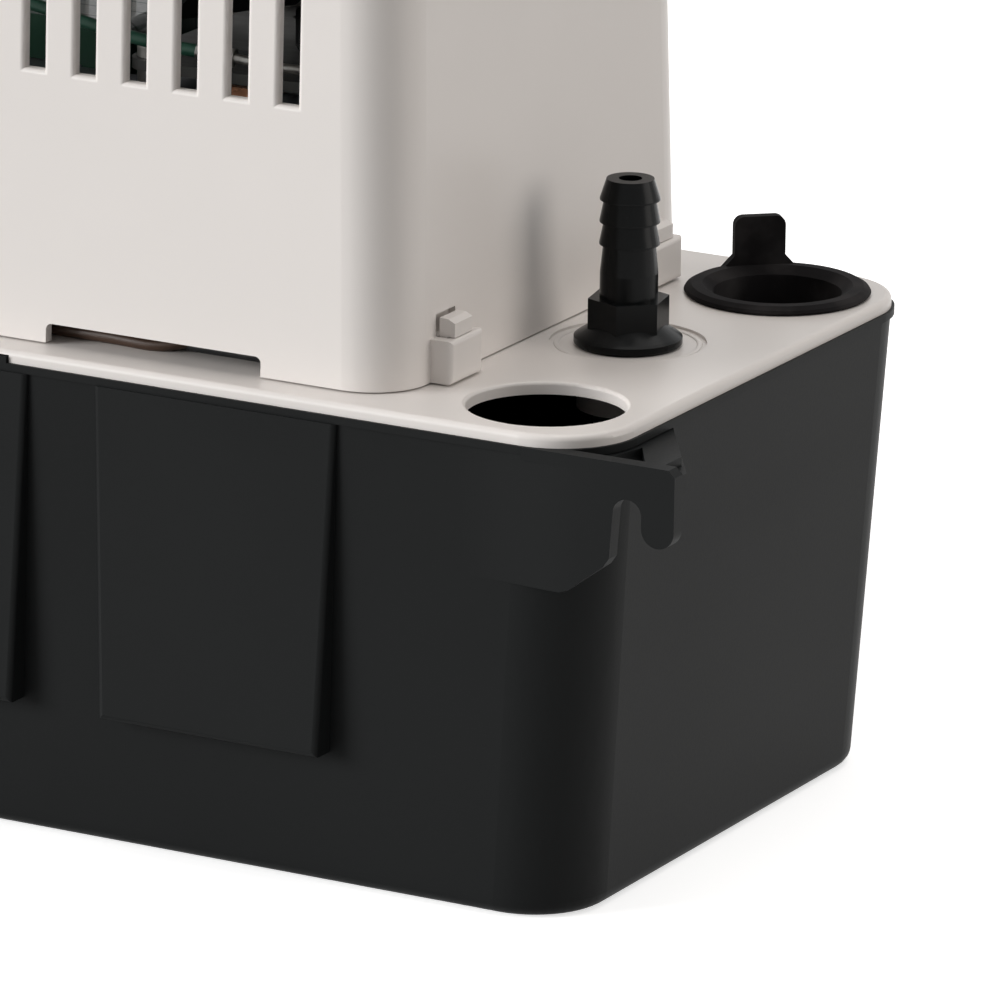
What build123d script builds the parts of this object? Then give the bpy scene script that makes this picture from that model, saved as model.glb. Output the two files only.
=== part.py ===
from build123d import *
import math
import os

# Condensate pump: a drafted plastic tank, a deck plate that carries the motor, pump,
# float switch and fittings, and a slotted cover over the motor.
# Millimetres. +Z up, origin on the tank's base under its centre, -Y the wall side.

# Tank
TANK_LENGTH = 279.4
TANK_WIDTH = 127.0
TANK_HEIGHT = 87.6
TANK_CORNER = 15.5
TANK_WALL = 2.5
TANK_FLOOR = 2.8
BEAD_OUT = 0.6
BEAD_HEIGHT = 1.4
END_DRAFT = 3.5
SIDE_DRAFT = 1.5
TANK_FOOT_FILLET = 3.0
TANK_INSIDE_FILLET = 2.0

# Standoff pads on the wall side
PAD_COUNT = 3
PAD_PITCH = 63.4
PAD_TOP_WIDTH = 49.4
PAD_FOOT_WIDTH = 45.0
PAD_FOOT_Z = 25.0
PAD_TOP_PROUD = 0.4
PAD_FOOT_PROUD = 2.5
PAD_FILLET = 1.0

# Hanging ears
EAR_THICKNESS = 3.0
EAR_REACH = 16.2
EAR_ROOT = 14.0
EAR_DROP = 25.2
EAR_BLEND = 3.0
FINGER_WIDTH = 6.4
FINGER_DROP = 14.4
HANG_SLOT_WIDTH = 5.6
HANG_SLOT_TOP = 6.4
HANG_SLOT_FOOT = 17.6
GUSSET_THICKNESS = 2.4
GUSSET_DROP = 1.6
GUSSET_RUN = 29.0

# Catch between tank and deck
CATCH_WIDTH = 41.0
CATCH_HEIGHT = 1.2
CATCH_DEPTH = 1.3
CATCH_CLEARANCE = 0.2

# Deck plate
DECK_THICKNESS = 2.3
DECK_EDGE_FILLET = 1.1
SKIRT_DEPTH = 4.0
SKIRT_WALL = 1.6
SKIRT_CLEARANCE = 0.4
INLET_RADIUS = 14.3
INLET_EDGE_FILLET = 0.6
INLET_INSET_X = 19.6
INLET_INSET_Y = 18.9

# Motor cover
OVERALL_HEIGHT = 196.9
COVER_LENGTH = 191.8
COVER_WIDTH = 112.0
COVER_CORNER = 11.0
COVER_WALL = 2.0
COVER_DRAFT = 1.5
COVER_SEAM = 0.3
COVER_TOP_FILLET = 5.0
VENT_COUNT = 15
VENT_PITCH = 10.4
VENT_WIDTH = 4.2
VENT_EDGE = 0.8
VENT_FOOT_Z = 139.8
VENT_HEIGHT = 40.0
NOTCH_CENTRE_X = 46.2
NOTCH_WIDTH = 44.4
NOTCH_HEIGHT = 3.6
NOTCH_CORNER = 1.2
CORD_OUTLET_RADIUS = 4.5

# Snap clips that hold the cover
CLIP_Y = 37.8
CLIP_BLOCK_WIDTH = 11.4
CLIP_BLOCK_OUT = 4.2
CLIP_BLOCK_HEIGHT = 7.9
CLIP_BLOCK_FILLET = 0.8
HOOK_WIDTH = 6.4
HOOK_STEM = 1.8
HOOK_HEAD_OUT = 1.3
HOOK_HEAD_HEIGHT = 3.2
HOOK_CLEARANCE = 0.3

# Discharge check valve
VALVE_INSET_X = 27.0
VALVE_SEAT_RADIUS = 14.2
VALVE_SEAT_DEPTH = 0.5
VALVE_FLANGE_RADIUS = 9.8
VALVE_FLANGE_HEIGHT = 2.0
VALVE_HEX_FLATS = 13.0
VALVE_HEX_FOOT = 2.6
VALVE_HEX_HEIGHT = 6.2
VALVE_HEX_TURN = 41.3
VALVE_SHANK_RADIUS = 5.25
BARB_COUNT = 3
BARB_PITCH = 4.1
BARB_RADIUS = 5.45
BARB_WAIST_RADIUS = 4.75
BARB_LAND = 0.5
BARB_TIP_RADIUS = 4.3
BARB_TOP = 30.2
VALVE_BORE_RADIUS = 2.1
VALVE_STEM_RADIUS = 6.2
VALVE_STEM_LENGTH = 10.0
BALL_RADIUS = 3.4
BALL_CLEARANCE = 0.4
BALL_TRAVEL = 3.0
SEAT_BORE_RADIUS = 2.4
SEAT_LENGTH = 4.0

# Inlet plugs
PLUG_FLANGE_RADIUS = 17.15
PLUG_FLANGE_HEIGHT = 1.6
PLUG_CLEARANCE = 0.3
PLUG_DEPTH = 9.0
PLUG_WALL = 2.2
PLUG_TAB_WIDTH = 9.6
PLUG_TAB_THICKNESS = 2.0
PLUG_TAB_HEIGHT = 10.8
PLUG_TAB_CORNER = 1.8
PLUG_TAB_TURN = 131.0

# Motor
SHAFT_X = 52.0
SHAFT_RADIUS = 2.5
BEARING_CLEARANCE = 0.05
STACK_FOOT_Z = 109.0
STACK_HEIGHT = 22.0
STACK_HALF = 30.0
BORE_RADIUS = 17.2
AIR_GAP = 0.4
WINDOW_NEAR = 24.0
LEG_NEAR = 44.0
LEG_WIDTH = 13.0
WINDOW_HALF = 18.0
COIL_BUILD = 7.5
BOBBIN_WALL = 1.2
BRACKET_GAP = 4.0
BRACKET_THICKNESS = 2.0
BRACKET_HALF_X = 28.0
BRACKET_ARM_Y = 37.0
BOLT_OFFSET = 24.0
BOLT_RADIUS = 2.0
SPACER_RADIUS = 3.6
BEARING_RADIUS = 6.0
BEARING_CUP_WALL = 1.6
BEARING_HEIGHT = 7.0
POST_RADIUS = 4.5
POST_X = 20.0
POST_RIB = 1.8
POST_RIB_REACH = 12.0
GROMMET_HEIGHT = 3.0
GROMMET_RADIUS = 5.0
END_RING_HEIGHT = 2.8
SCREW_RADIUS = 1.5
SCREW_PILOT = 1.55
SCREW_BITE = 7.0
LOCATOR_X = 76.5
LOCATOR_WIDTH = 12.0
LOCATOR_HEIGHT = 5.0
LOCATOR_WALL = 1.6
FAN_RADIUS = 33.0
FAN_HUB_RADIUS = 7.0
FAN_HEIGHT = 11.0
FAN_BLADES = 6
FAN_BLADE_THICKNESS = 1.4
FAN_BLADE_PITCH = 32.0
SLINGER_RADIUS = 10.0
SLINGER_HEIGHT = 2.6
COLLAR_RADIUS = 8.0
COLLAR_BORE = 5.0
COLLAR_HEIGHT = 2.0
SLINGER_GAP = 0.6

# Pump
COLUMN_RADIUS = 12.5
COLUMN_WALL = 2.4
COLUMN_FLANGE_RADIUS = 23.0
COLUMN_FLANGE_HEIGHT = 3.0
VOLUTE_RADIUS = 28.0
VOLUTE_WALL = 2.6
INTAKE_GAP = 5.0
INTAKE_PLATE = 2.4
INTAKE_EYE_RADIUS = 9.0
CHAMBER_HEIGHT = 9.0
IMPELLER_RADIUS = 20.0
IMPELLER_DISC = 1.8
IMPELLER_VANE = 5.0
IMPELLER_VANES = 6
IMPELLER_CLEARANCE = 0.8
NOZZLE_OFFSET = 15.0
NOZZLE_RADIUS = 4.4
NOZZLE_BORE = 3.0
NOZZLE_REACH = 9.0
TUBE_CLEARANCE = 0.1
TUBE_WALL = 1.5
TUBE_BEND = 14.0
TUBE_GAP = 0.3
HOUSING_SCREW_RADIUS = 1.5
INTAKE_SCREW_RADIUS = 1.1
INTAKE_SCREW_BITE = 5.0
INTAKE_FOOT_RADIUS = 2.2
INTAKE_FOOT_GAP = 0.3
SPIGOT_COLLAR = 1.5

# Float and switches
FLOAT_X = -40.0
FLOAT_SIDE = 62.0
FLOAT_HEIGHT = 26.0
FLOAT_CORNER = 8.0
FLOAT_REST_Z = 18.0
FLOAT_TRAVEL = 24.0
ROD_RADIUS = 2.5
ROD_CLEARANCE = 0.3
LEVER_ARM = 32.0
LEVER_Z = 115.0
LEVER_THICKNESS = 2.0
LEVER_WIDTH = 20.0
LEVER_SWING = 12.0
PIN_RADIUS = 1.5
PIN_CLEARANCE = 0.05
PLUNGER_ARM = 6.5
PLUNGER_TRAVEL = 1.2
SWITCH_LENGTH = 27.8
SWITCH_WIDTH = 10.3
SWITCH_HEIGHT = 15.9
SWITCH_END = 7.0
SWITCH_LIFT = 3.4
SWITCH_GAP = 0.8
SWITCH_SCREW_RADIUS = 1.5
SWITCH_SCREW_CLEARANCE = 0.1
PLUNGER_GAP = 0.6
CHEEK = 2.0
GUIDE_WALL = 2.0
GUIDE_BELOW = 6.0
GUIDE_ABOVE = 1.6
ROD_COLLAR_RADIUS = 5.0
ROD_COLLAR_HEIGHT = 2.5
COLLAR_LIFT_GAP = 1.6

# Derived levels and places
DECK_TOP = TANK_HEIGHT + DECK_THICKNESS
DECK_LENGTH = TANK_LENGTH - 2 * BEAD_OUT
DECK_WIDTH = TANK_WIDTH - 2 * BEAD_OUT
DECK_CORNER = TANK_CORNER - BEAD_OUT
VALVE_X = DECK_LENGTH / 2 - VALVE_INSET_X
INLET_X = DECK_LENGTH / 2 - INLET_INSET_X
INLET_Y = DECK_WIDTH / 2 - INLET_INSET_Y
VALVE_FOOT_Z = DECK_TOP - VALVE_SEAT_DEPTH
COVER_FOOT_Z = DECK_TOP + COVER_SEAM
STACK_TOP_Z = STACK_FOOT_Z + STACK_HEIGHT
LOWER_BRACKET_Z = STACK_FOOT_Z - BRACKET_GAP - BRACKET_THICKNESS
UPPER_BRACKET_Z = STACK_TOP_Z + BRACKET_GAP
VOLUTE_FOOT_Z = TANK_FLOOR + INTAKE_GAP + INTAKE_PLATE
VOLUTE_TOP_Z = VOLUTE_FOOT_Z + CHAMBER_HEIGHT + VOLUTE_WALL
NOZZLE_Z = VOLUTE_FOOT_Z + CHAMBER_HEIGHT / 2
TUBE_BORE = NOZZLE_RADIUS + TUBE_CLEARANCE
TUBE_RADIUS = TUBE_BORE + TUBE_WALL
POST_TOP_Z = LOWER_BRACKET_Z - GROMMET_HEIGHT
VALVE_SPIGOT_Z = VALVE_FOOT_Z - VALVE_STEM_LENGTH - SPIGOT_COLLAR
PIVOT_X = FLOAT_X - LEVER_ARM


def frustum(foot, head, foot_z, head_z):
    """Rounded-rectangle prism that changes size evenly from foot_z to head_z."""
    lower = Pos(0, 0, foot_z) * RectangleRounded(*foot)
    upper = Pos(0, 0, head_z) * RectangleRounded(*head)
    return loft([lower, upper], ruled=True)


def inset(size, x_in, y_in, corner_in):
    """Rounded-rectangle size (length, width, corner) drawn in on every side."""
    return size[0] - 2 * x_in, size[1] - 2 * y_in, size[2] - corner_in


def turned(points, x=0.0, y=0.0, z=0.0):
    """Solid of revolution about a vertical axis from (radius, height) points."""
    profile = make_face(Polyline(*points, close=True))
    return Pos(x, y, z) * revolve(Plane.XZ * profile, Axis.Z)


def rod(radius, foot_z, head_z, x=0.0, y=0.0):
    """Vertical cylinder between two levels."""
    return Pos(x, y, foot_z) * extrude(Circle(radius), head_z - foot_z)


def tube(radius, bore, foot_z, head_z, x=0.0, y=0.0):
    """Vertical tube between two levels."""
    return Pos(x, y, foot_z) * extrude(Circle(radius) - Circle(bore), head_z - foot_z)


def block(x_low, x_high, y_low, y_high, z_low, z_high):
    """Box between its low and high faces."""
    centre = Pos((x_low + x_high) / 2, (y_low + y_high) / 2, (z_low + z_high) / 2)
    return centre * Box(x_high - x_low, y_high - y_low, z_high - z_low)


def prism_y(points, y_low, y_high):
    """Prism along Y from an outline of (x, z) points."""
    face = Plane.XZ * make_face(Polyline(*points, close=True))
    return Pos(0, y_high, 0) * extrude(face, y_high - y_low)


def screw(radius, length, head_radius, head_height):
    """Pan-head screw standing head up, its head seated at z = 0."""
    return rod(radius, -length, 0) + rod(head_radius, 0, head_height)


def tank_size(z):
    """Outside of the tank wall, under the bead, at height z."""
    fall = TANK_HEIGHT - z
    x_in = BEAD_OUT + fall * math.tan(math.radians(END_DRAFT))
    y_in = BEAD_OUT + fall * math.tan(math.radians(SIDE_DRAFT))
    return inset((TANK_LENGTH, TANK_WIDTH, TANK_CORNER), x_in, y_in, BEAD_OUT)


def tank_pad(x):
    """One raised standoff pad, widening and lying closer to the wall plane at its top."""
    front = -TANK_WIDTH / 2
    back = front + TANK_WALL + BEAD_OUT
    top_depth = back - front + PAD_TOP_PROUD
    foot_back = -tank_size(PAD_FOOT_Z)[1] / 2 + TANK_WALL / 2
    foot_depth = foot_back - front + PAD_FOOT_PROUD
    top_z = TANK_HEIGHT - BEAD_HEIGHT
    head = Pos(x, front - PAD_TOP_PROUD + top_depth / 2, top_z) * Rectangle(PAD_TOP_WIDTH, top_depth)
    foot = Pos(x, front - PAD_FOOT_PROUD + foot_depth / 2, PAD_FOOT_Z) * Rectangle(PAD_FOOT_WIDTH, foot_depth)
    pad = loft([foot, head], ruled=True)
    face = pad.faces().sort_by(Axis.Y)[0]
    return fillet(face.edges().sort_by(Axis.Z)[:-1], PAD_FILLET)


def ear_plate():
    """Right-hand ear: a plate in the wall plane with an open-ended hanging slot."""
    edge = DECK_LENGTH / 2
    tip = edge + EAR_REACH
    finger = tip - FINGER_WIDTH
    slot_left = finger - HANG_SLOT_WIDTH
    slot_arc = HANG_SLOT_WIDTH / 2
    top = TANK_HEIGHT
    outline = Polyline(
        (edge - EAR_ROOT, top),
        (tip - 1.2, top),
        (tip, top - 1.2),
        (tip, top - FINGER_DROP + FINGER_WIDTH / 2),
    )
    outline += ThreePointArc(
        (tip, top - FINGER_DROP + FINGER_WIDTH / 2),
        (tip - FINGER_WIDTH / 2, top - FINGER_DROP),
        (finger, top - FINGER_DROP + FINGER_WIDTH / 2),
    )
    outline += Line((finger, top - FINGER_DROP + FINGER_WIDTH / 2), (finger, top - HANG_SLOT_TOP - slot_arc))
    outline += ThreePointArc(
        (finger, top - HANG_SLOT_TOP - slot_arc),
        (finger - slot_arc, top - HANG_SLOT_TOP),
        (slot_left, top - HANG_SLOT_TOP - slot_arc),
    )
    outline += Polyline(
        (slot_left, top - HANG_SLOT_TOP - slot_arc),
        (slot_left - 0.6, top - HANG_SLOT_FOOT),
        (slot_left - 1.7, top - HANG_SLOT_FOOT - 1.6),
        (slot_left - 9.6, top - EAR_DROP),
        (edge - EAR_ROOT, top - EAR_DROP),
        (edge - EAR_ROOT, top),
    )
    face = Plane.XZ * make_face(outline)
    front = -TANK_WIDTH / 2
    plate = Pos(0, front + EAR_THICKNESS, 0) * extrude(face, EAR_THICKNESS)
    blend = make_face(Polyline((edge - EAR_ROOT - 1, front - 1), (edge - EAR_BLEND, front - 1), (edge - EAR_BLEND, front),
                               (edge - EAR_ROOT - 1, front + EAR_THICKNESS), close=True))
    return plate - Pos(0, 0, top - EAR_DROP - 1) * extrude(blend, EAR_DROP - BEAD_HEIGHT)


def ear_gusset():
    """Flat web from the ear's outer corner back to the tank's end wall, with a window."""
    edge = DECK_LENGTH / 2
    front = -TANK_WIDTH / 2
    tip = edge + EAR_REACH
    wall = edge - TANK_WALL / 2
    outline = [
        (wall - TANK_CORNER, front + EAR_THICKNESS / 2),
        (tip - 0.4, front + EAR_THICKNESS / 2),
        (tip - 0.4, front + EAR_THICKNESS + 2.2),
        (edge + 0.6, front + GUSSET_RUN),
        (wall, front + GUSSET_RUN + 3),
        (wall, front + TANK_CORNER),
    ]
    window = [
        (edge - 1.0, front + EAR_THICKNESS + 1.2),
        (edge + 8.5, front + EAR_THICKNESS + 1.2),
        (edge + 1.6, front + EAR_THICKNESS + 12.5),
    ]
    web = make_face(Polyline(*outline, close=True)) - make_face(Polyline(*window, close=True))
    rib = block(tip - 5.2, tip - 3.4, front + 1, front + 9.0, TANK_HEIGHT - GUSSET_DROP - 1, TANK_HEIGHT)
    return Pos(0, 0, TANK_HEIGHT - GUSSET_DROP - GUSSET_THICKNESS) * extrude(web, GUSSET_THICKNESS) + rib


def make_tank():
    outside = frustum(tank_size(0), tank_size(TANK_HEIGHT), 0, TANK_HEIGHT)
    outside = fillet(outside.faces().sort_by(Axis.Z)[0].edges(), TANK_FOOT_FILLET)
    bead = extrude(RectangleRounded(TANK_LENGTH, TANK_WIDTH, TANK_CORNER), BEAD_HEIGHT)
    shell = outside + Pos(0, 0, TANK_HEIGHT - BEAD_HEIGHT) * bead
    for index in range(PAD_COUNT):
        shell += tank_pad((index - (PAD_COUNT - 1) / 2) * PAD_PITCH)
    ear = ear_plate() + ear_gusset()
    shell += ear
    shell += mirror(ear, Plane.YZ)
    foot = inset(tank_size(TANK_FLOOR), TANK_WALL, TANK_WALL, TANK_WALL)
    head = inset(tank_size(TANK_HEIGHT), TANK_WALL, TANK_WALL, TANK_WALL)
    cavity = frustum(foot, head, TANK_FLOOR, TANK_HEIGHT)
    cavity = fillet(cavity.faces().sort_by(Axis.Z)[0].edges(), TANK_INSIDE_FILLET)
    front = -TANK_WIDTH / 2
    half = CATCH_WIDTH / 2 - CATCH_CLEARANCE
    catch = block(-half, half, front, front + CATCH_DEPTH, TANK_HEIGHT - 1, TANK_HEIGHT + CATCH_HEIGHT)
    return shell - cavity + catch


def clip_places():
    """X side and Y of each of the cover's four snap clips."""
    return [(side, y) for side in (-1, 1) for y in (-CLIP_Y, CLIP_Y)]


def deck_hook(side, y):
    """Sprung hook that stands up through a clip block and latches over it."""
    x_in = COVER_LENGTH / 2 + HOOK_CLEARANCE
    block_top = COVER_FOOT_Z + CLIP_BLOCK_HEIGHT
    seat = block_top + HOOK_CLEARANCE / 2
    half = HOOK_WIDTH / 2
    points = [
        (x_in, DECK_TOP - 1),
        (x_in + HOOK_STEM, DECK_TOP - 1),
        (x_in + HOOK_STEM, seat),
        (x_in + HOOK_STEM + HOOK_HEAD_OUT, seat),
        (x_in + HOOK_STEM + HOOK_HEAD_OUT, seat + HOOK_HEAD_HEIGHT * 0.8),
        (x_in + HOOK_STEM, seat + HOOK_HEAD_HEIGHT),
        (x_in, seat + HOOK_HEAD_HEIGHT + 0.1),
    ]
    hook = prism_y(points, y - half, y + half)
    return hook if side > 0 else mirror(hook, Plane.YZ)


def motor_posts():
    """Places of the four posts under the motor's lower bracket."""
    return [(SHAFT_X + sx * POST_X, sy * BRACKET_ARM_Y) for sx in (-1, 1) for sy in (-1, 1)]


def make_deck_plate():
    plate = Pos(0, 0, TANK_HEIGHT) * extrude(RectangleRounded(DECK_LENGTH, DECK_WIDTH, DECK_CORNER), DECK_THICKNESS)
    plate = fillet(plate.faces().sort_by(Axis.Z)[-1].edges(), DECK_EDGE_FILLET)
    inner = inset(tank_size(TANK_HEIGHT), TANK_WALL, TANK_WALL, TANK_WALL)
    outer_skirt = inset(inner, SKIRT_CLEARANCE, SKIRT_CLEARANCE, SKIRT_CLEARANCE)
    inner_skirt = inset(outer_skirt, SKIRT_WALL, SKIRT_WALL, SKIRT_WALL)
    skirt = RectangleRounded(*outer_skirt) - RectangleRounded(*inner_skirt)
    plate += Pos(0, 0, TANK_HEIGHT - SKIRT_DEPTH) * extrude(skirt, SKIRT_DEPTH)
    front = -TANK_WIDTH / 2
    half = CATCH_WIDTH / 2
    plate -= block(-half, half, front, front + CATCH_DEPTH + CATCH_CLEARANCE,
                   TANK_HEIGHT, TANK_HEIGHT + CATCH_HEIGHT + CATCH_CLEARANCE)
    for sx in (-1, 1):
        for sy in (-1, 1):
            plate -= rod(INLET_RADIUS, TANK_HEIGHT - SKIRT_DEPTH - 1, DECK_TOP + 1, sx * INLET_X, sy * INLET_Y)
    rims = plate.edges().filter_by(GeomType.CIRCLE).filter_by(
        lambda e: abs(e.radius - INLET_RADIUS) < 0.01 and abs(e.center().Z - DECK_TOP) < 0.01)
    plate = fillet(rims, INLET_EDGE_FILLET)
    plate += rod(VALVE_STEM_RADIUS + 3, VALVE_SPIGOT_Z, TANK_HEIGHT, VALVE_X)
    plate -= rod(VALVE_SEAT_RADIUS, VALVE_FOOT_Z, DECK_TOP + 1, VALVE_X)
    plate -= rod(VALVE_STEM_RADIUS, VALVE_SPIGOT_Z - 1, DECK_TOP, VALVE_X)
    plate += tube(COLLAR_RADIUS, COLLAR_BORE, TANK_HEIGHT, DECK_TOP + COLLAR_HEIGHT, SHAFT_X)
    plate -= rod(COLLAR_BORE, TANK_HEIGHT - 1, DECK_TOP + COLLAR_HEIGHT, SHAFT_X)
    guide = ROD_RADIUS + ROD_CLEARANCE
    plate += rod(guide + GUIDE_WALL, TANK_HEIGHT - GUIDE_BELOW, DECK_TOP + GUIDE_ABOVE, FLOAT_X)
    plate -= rod(guide, TANK_HEIGHT - GUIDE_BELOW - 1, DECK_TOP + GUIDE_ABOVE + 1, FLOAT_X)
    for x, y in motor_posts():
        inner_y = y - math.copysign(POST_RIB_REACH, y)
        rib = block(x - POST_RIB / 2, x + POST_RIB / 2, min(y, inner_y), max(y, inner_y), TANK_HEIGHT, POST_TOP_Z - 2)
        plate += rod(POST_RADIUS, TANK_HEIGHT, POST_TOP_Z, x, y) + rib
        plate -= rod(SCREW_PILOT, POST_TOP_Z - SCREW_BITE - 1, POST_TOP_Z + 1, x, y)
    for x, y in flange_screw_places():
        plate -= rod(HOUSING_SCREW_RADIUS + 0.05, TANK_HEIGHT - 1, DECK_TOP - 0.5, x, y)
    for x, y in bracket_screw_places():
        plate -= rod(SCREW_PILOT, TANK_HEIGHT + 0.4, DECK_TOP + 1, x, y)
    for side, y in clip_places():
        plate += deck_hook(side, y)
    outer_y = COVER_WIDTH / 2 - COVER_WALL - HOOK_CLEARANCE
    for x in (-LOCATOR_X, 0, LOCATOR_X):
        for sy in (-1, 1):
            y_low, y_high = sorted((sy * outer_y, sy * (outer_y - LOCATOR_WALL)))
            plate += block(x - LOCATOR_WIDTH / 2, x + LOCATOR_WIDTH / 2, y_low, y_high,
                           TANK_HEIGHT + 1, DECK_TOP + LOCATOR_HEIGHT)
    return plate


def cover_size(z):
    """Outside of the motor cover at height z."""
    rise = (z - COVER_FOOT_Z) * math.tan(math.radians(COVER_DRAFT))
    return inset((COVER_LENGTH, COVER_WIDTH, COVER_CORNER), rise, rise, 0)


def clip_block(side, y):
    """Loop on the cover's end wall that a deck hook passes up through."""
    wall = COVER_LENGTH / 2
    loop = block(wall - COVER_WALL / 2, wall + CLIP_BLOCK_OUT, y - CLIP_BLOCK_WIDTH / 2, y + CLIP_BLOCK_WIDTH / 2,
                 COVER_FOOT_Z, COVER_FOOT_Z + CLIP_BLOCK_HEIGHT)
    loop = fillet(loop.faces().sort_by(Axis.X)[-1].edges(), CLIP_BLOCK_FILLET)
    return loop if side > 0 else mirror(loop, Plane.YZ)


def clip_passage(side, y):
    """Space inside a clip block for the hook's stem and, above it, the hook's back."""
    x_low = COVER_LENGTH / 2 + HOOK_CLEARANCE / 2 - 0.3
    x_high = COVER_LENGTH / 2 + HOOK_STEM + 2 * HOOK_CLEARANCE
    half = HOOK_WIDTH / 2 + HOOK_CLEARANCE
    top = COVER_FOOT_Z + CLIP_BLOCK_HEIGHT + 1
    passage = block(x_low, x_high, y - half, y + half, COVER_FOOT_Z - 1, top)
    slit_top = COVER_FOOT_Z + CLIP_BLOCK_HEIGHT + HOOK_HEAD_HEIGHT + 0.8
    passage += block(x_low - 1.5, x_high, y - half, y + half, top - 1, slit_top)
    return passage if side > 0 else mirror(passage, Plane.YZ)


def cover_vent(x):
    """Cutter for one pair of opposite vents."""
    half = VENT_WIDTH / 2
    return block(x - half, x + half, -COVER_WIDTH, COVER_WIDTH, VENT_FOOT_Z, VENT_FOOT_Z + VENT_HEIGHT)


def vent_rims(shell):
    """Edges of the vents on the cover's two long outer faces."""
    outer_y = COVER_WIDTH / 2 - COVER_WALL
    long_faces = [face for face in shell.faces() if abs(face.center().Y) > outer_y and face.inner_wires()]
    return [edge for face in long_faces for wire in face.inner_wires() for edge in wire.edges()]


def make_motor_cover():
    shell = frustum(cover_size(COVER_FOOT_Z), cover_size(OVERALL_HEIGHT), COVER_FOOT_Z, OVERALL_HEIGHT)
    shell = fillet(shell.faces().sort_by(Axis.Z)[-1].edges(), COVER_TOP_FILLET)
    roof = OVERALL_HEIGHT - COVER_WALL
    foot = inset(cover_size(COVER_FOOT_Z), COVER_WALL, COVER_WALL, COVER_WALL)
    head = inset(cover_size(roof), COVER_WALL, COVER_WALL, COVER_WALL)
    hollow = frustum(foot, head, COVER_FOOT_Z, roof)
    hollow = fillet(hollow.faces().sort_by(Axis.Z)[-1].edges(), COVER_TOP_FILLET - COVER_WALL)
    for side, y in clip_places():
        shell += clip_block(side, y)
    shell -= hollow
    for side, y in clip_places():
        shell -= clip_passage(side, y)
    for side in (-1, 1):
        x_low, x_high = sorted((side * (NOTCH_CENTRE_X - NOTCH_WIDTH / 2), side * (NOTCH_CENTRE_X + NOTCH_WIDTH / 2)))
        notch = block(x_low, x_high, -COVER_WIDTH, COVER_WIDTH, COVER_FOOT_Z - 1, COVER_FOOT_Z + NOTCH_HEIGHT)
        shell -= fillet(notch.edges().filter_by(Axis.Y).group_by(Axis.Z)[-1], NOTCH_CORNER)
    for index in range(VENT_COUNT):
        shell -= cover_vent((index - (VENT_COUNT - 1) / 2) * VENT_PITCH)
    shell = fillet(vent_rims(shell), VENT_EDGE)
    outlet = Plane.YZ * (Circle(CORD_OUTLET_RADIUS) + Pos(0, -CORD_OUTLET_RADIUS) * Rectangle(
        2 * CORD_OUTLET_RADIUS, 2 * CORD_OUTLET_RADIUS))
    outlet = extrude(outlet, -COVER_WALL * 4)
    shell -= Pos(-COVER_LENGTH / 2 + COVER_WALL * 3, 0, COVER_FOOT_Z + CORD_OUTLET_RADIUS) * outlet
    return shell


def make_check_valve_body():
    hex_foot = VALVE_HEX_FOOT
    hex_top = hex_foot + VALVE_HEX_HEIGHT
    points = [(0, -VALVE_STEM_LENGTH), (VALVE_STEM_RADIUS - 0.1, -VALVE_STEM_LENGTH), (VALVE_STEM_RADIUS - 0.1, 0),
              (VALVE_FLANGE_RADIUS - 0.5, 0), (VALVE_FLANGE_RADIUS, 0.5),
              (VALVE_FLANGE_RADIUS, VALVE_FLANGE_HEIGHT - 0.4), (VALVE_FLANGE_RADIUS - 0.5, VALVE_FLANGE_HEIGHT),
              (VALVE_HEX_FLATS / 2, hex_foot + 1.2), (VALVE_HEX_FLATS / 2, hex_top - 0.5)]
    lip_foot = BARB_TOP + VALVE_SEAT_DEPTH - BARB_COUNT * BARB_PITCH
    points += [(VALVE_SHANK_RADIUS, hex_top - 0.5), (VALVE_SHANK_RADIUS, lip_foot - 5), (BARB_WAIST_RADIUS, lip_foot)]
    for index in range(BARB_COUNT):
        foot = lip_foot + index * BARB_PITCH
        tip = BARB_WAIST_RADIUS if index < BARB_COUNT - 1 else BARB_TIP_RADIUS
        points += [(BARB_RADIUS, foot + 0.25), (BARB_RADIUS, foot + BARB_LAND), (tip, foot + BARB_PITCH)]
    body = turned(points + [(0, points[-1][1])])
    hexagon = RegularPolygon(VALVE_HEX_FLATS / 2, 6, major_radius=False)
    body += Rot(0, 0, VALVE_HEX_TURN) * (Pos(0, 0, hex_foot - 0.8) * extrude(hexagon, VALVE_HEX_HEIGHT + 0.8))
    body = Pos(VALVE_X, 0, VALVE_FOOT_Z) * body
    chamber = BALL_RADIUS + BALL_CLEARANCE
    ceiling = valve_ball_z() + BALL_TRAVEL + BALL_RADIUS
    body -= turned([(0, VALVE_FOOT_Z - VALVE_STEM_LENGTH - 1), (chamber, VALVE_FOOT_Z - VALVE_STEM_LENGTH - 1),
                    (chamber, ceiling - 1), (VALVE_BORE_RADIUS, ceiling + 0.8), (VALVE_BORE_RADIUS, OVERALL_HEIGHT),
                    (0, OVERALL_HEIGHT)], VALVE_X)
    return body


def valve_ball_z():
    """Height of the check ball's centre when it sits on its seat."""
    seat_top = VALVE_FOOT_Z - VALVE_STEM_LENGTH + SEAT_LENGTH
    edge = SEAT_BORE_RADIUS + 0.6
    return seat_top + math.sqrt(BALL_RADIUS ** 2 - edge ** 2) + 0.05


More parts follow.
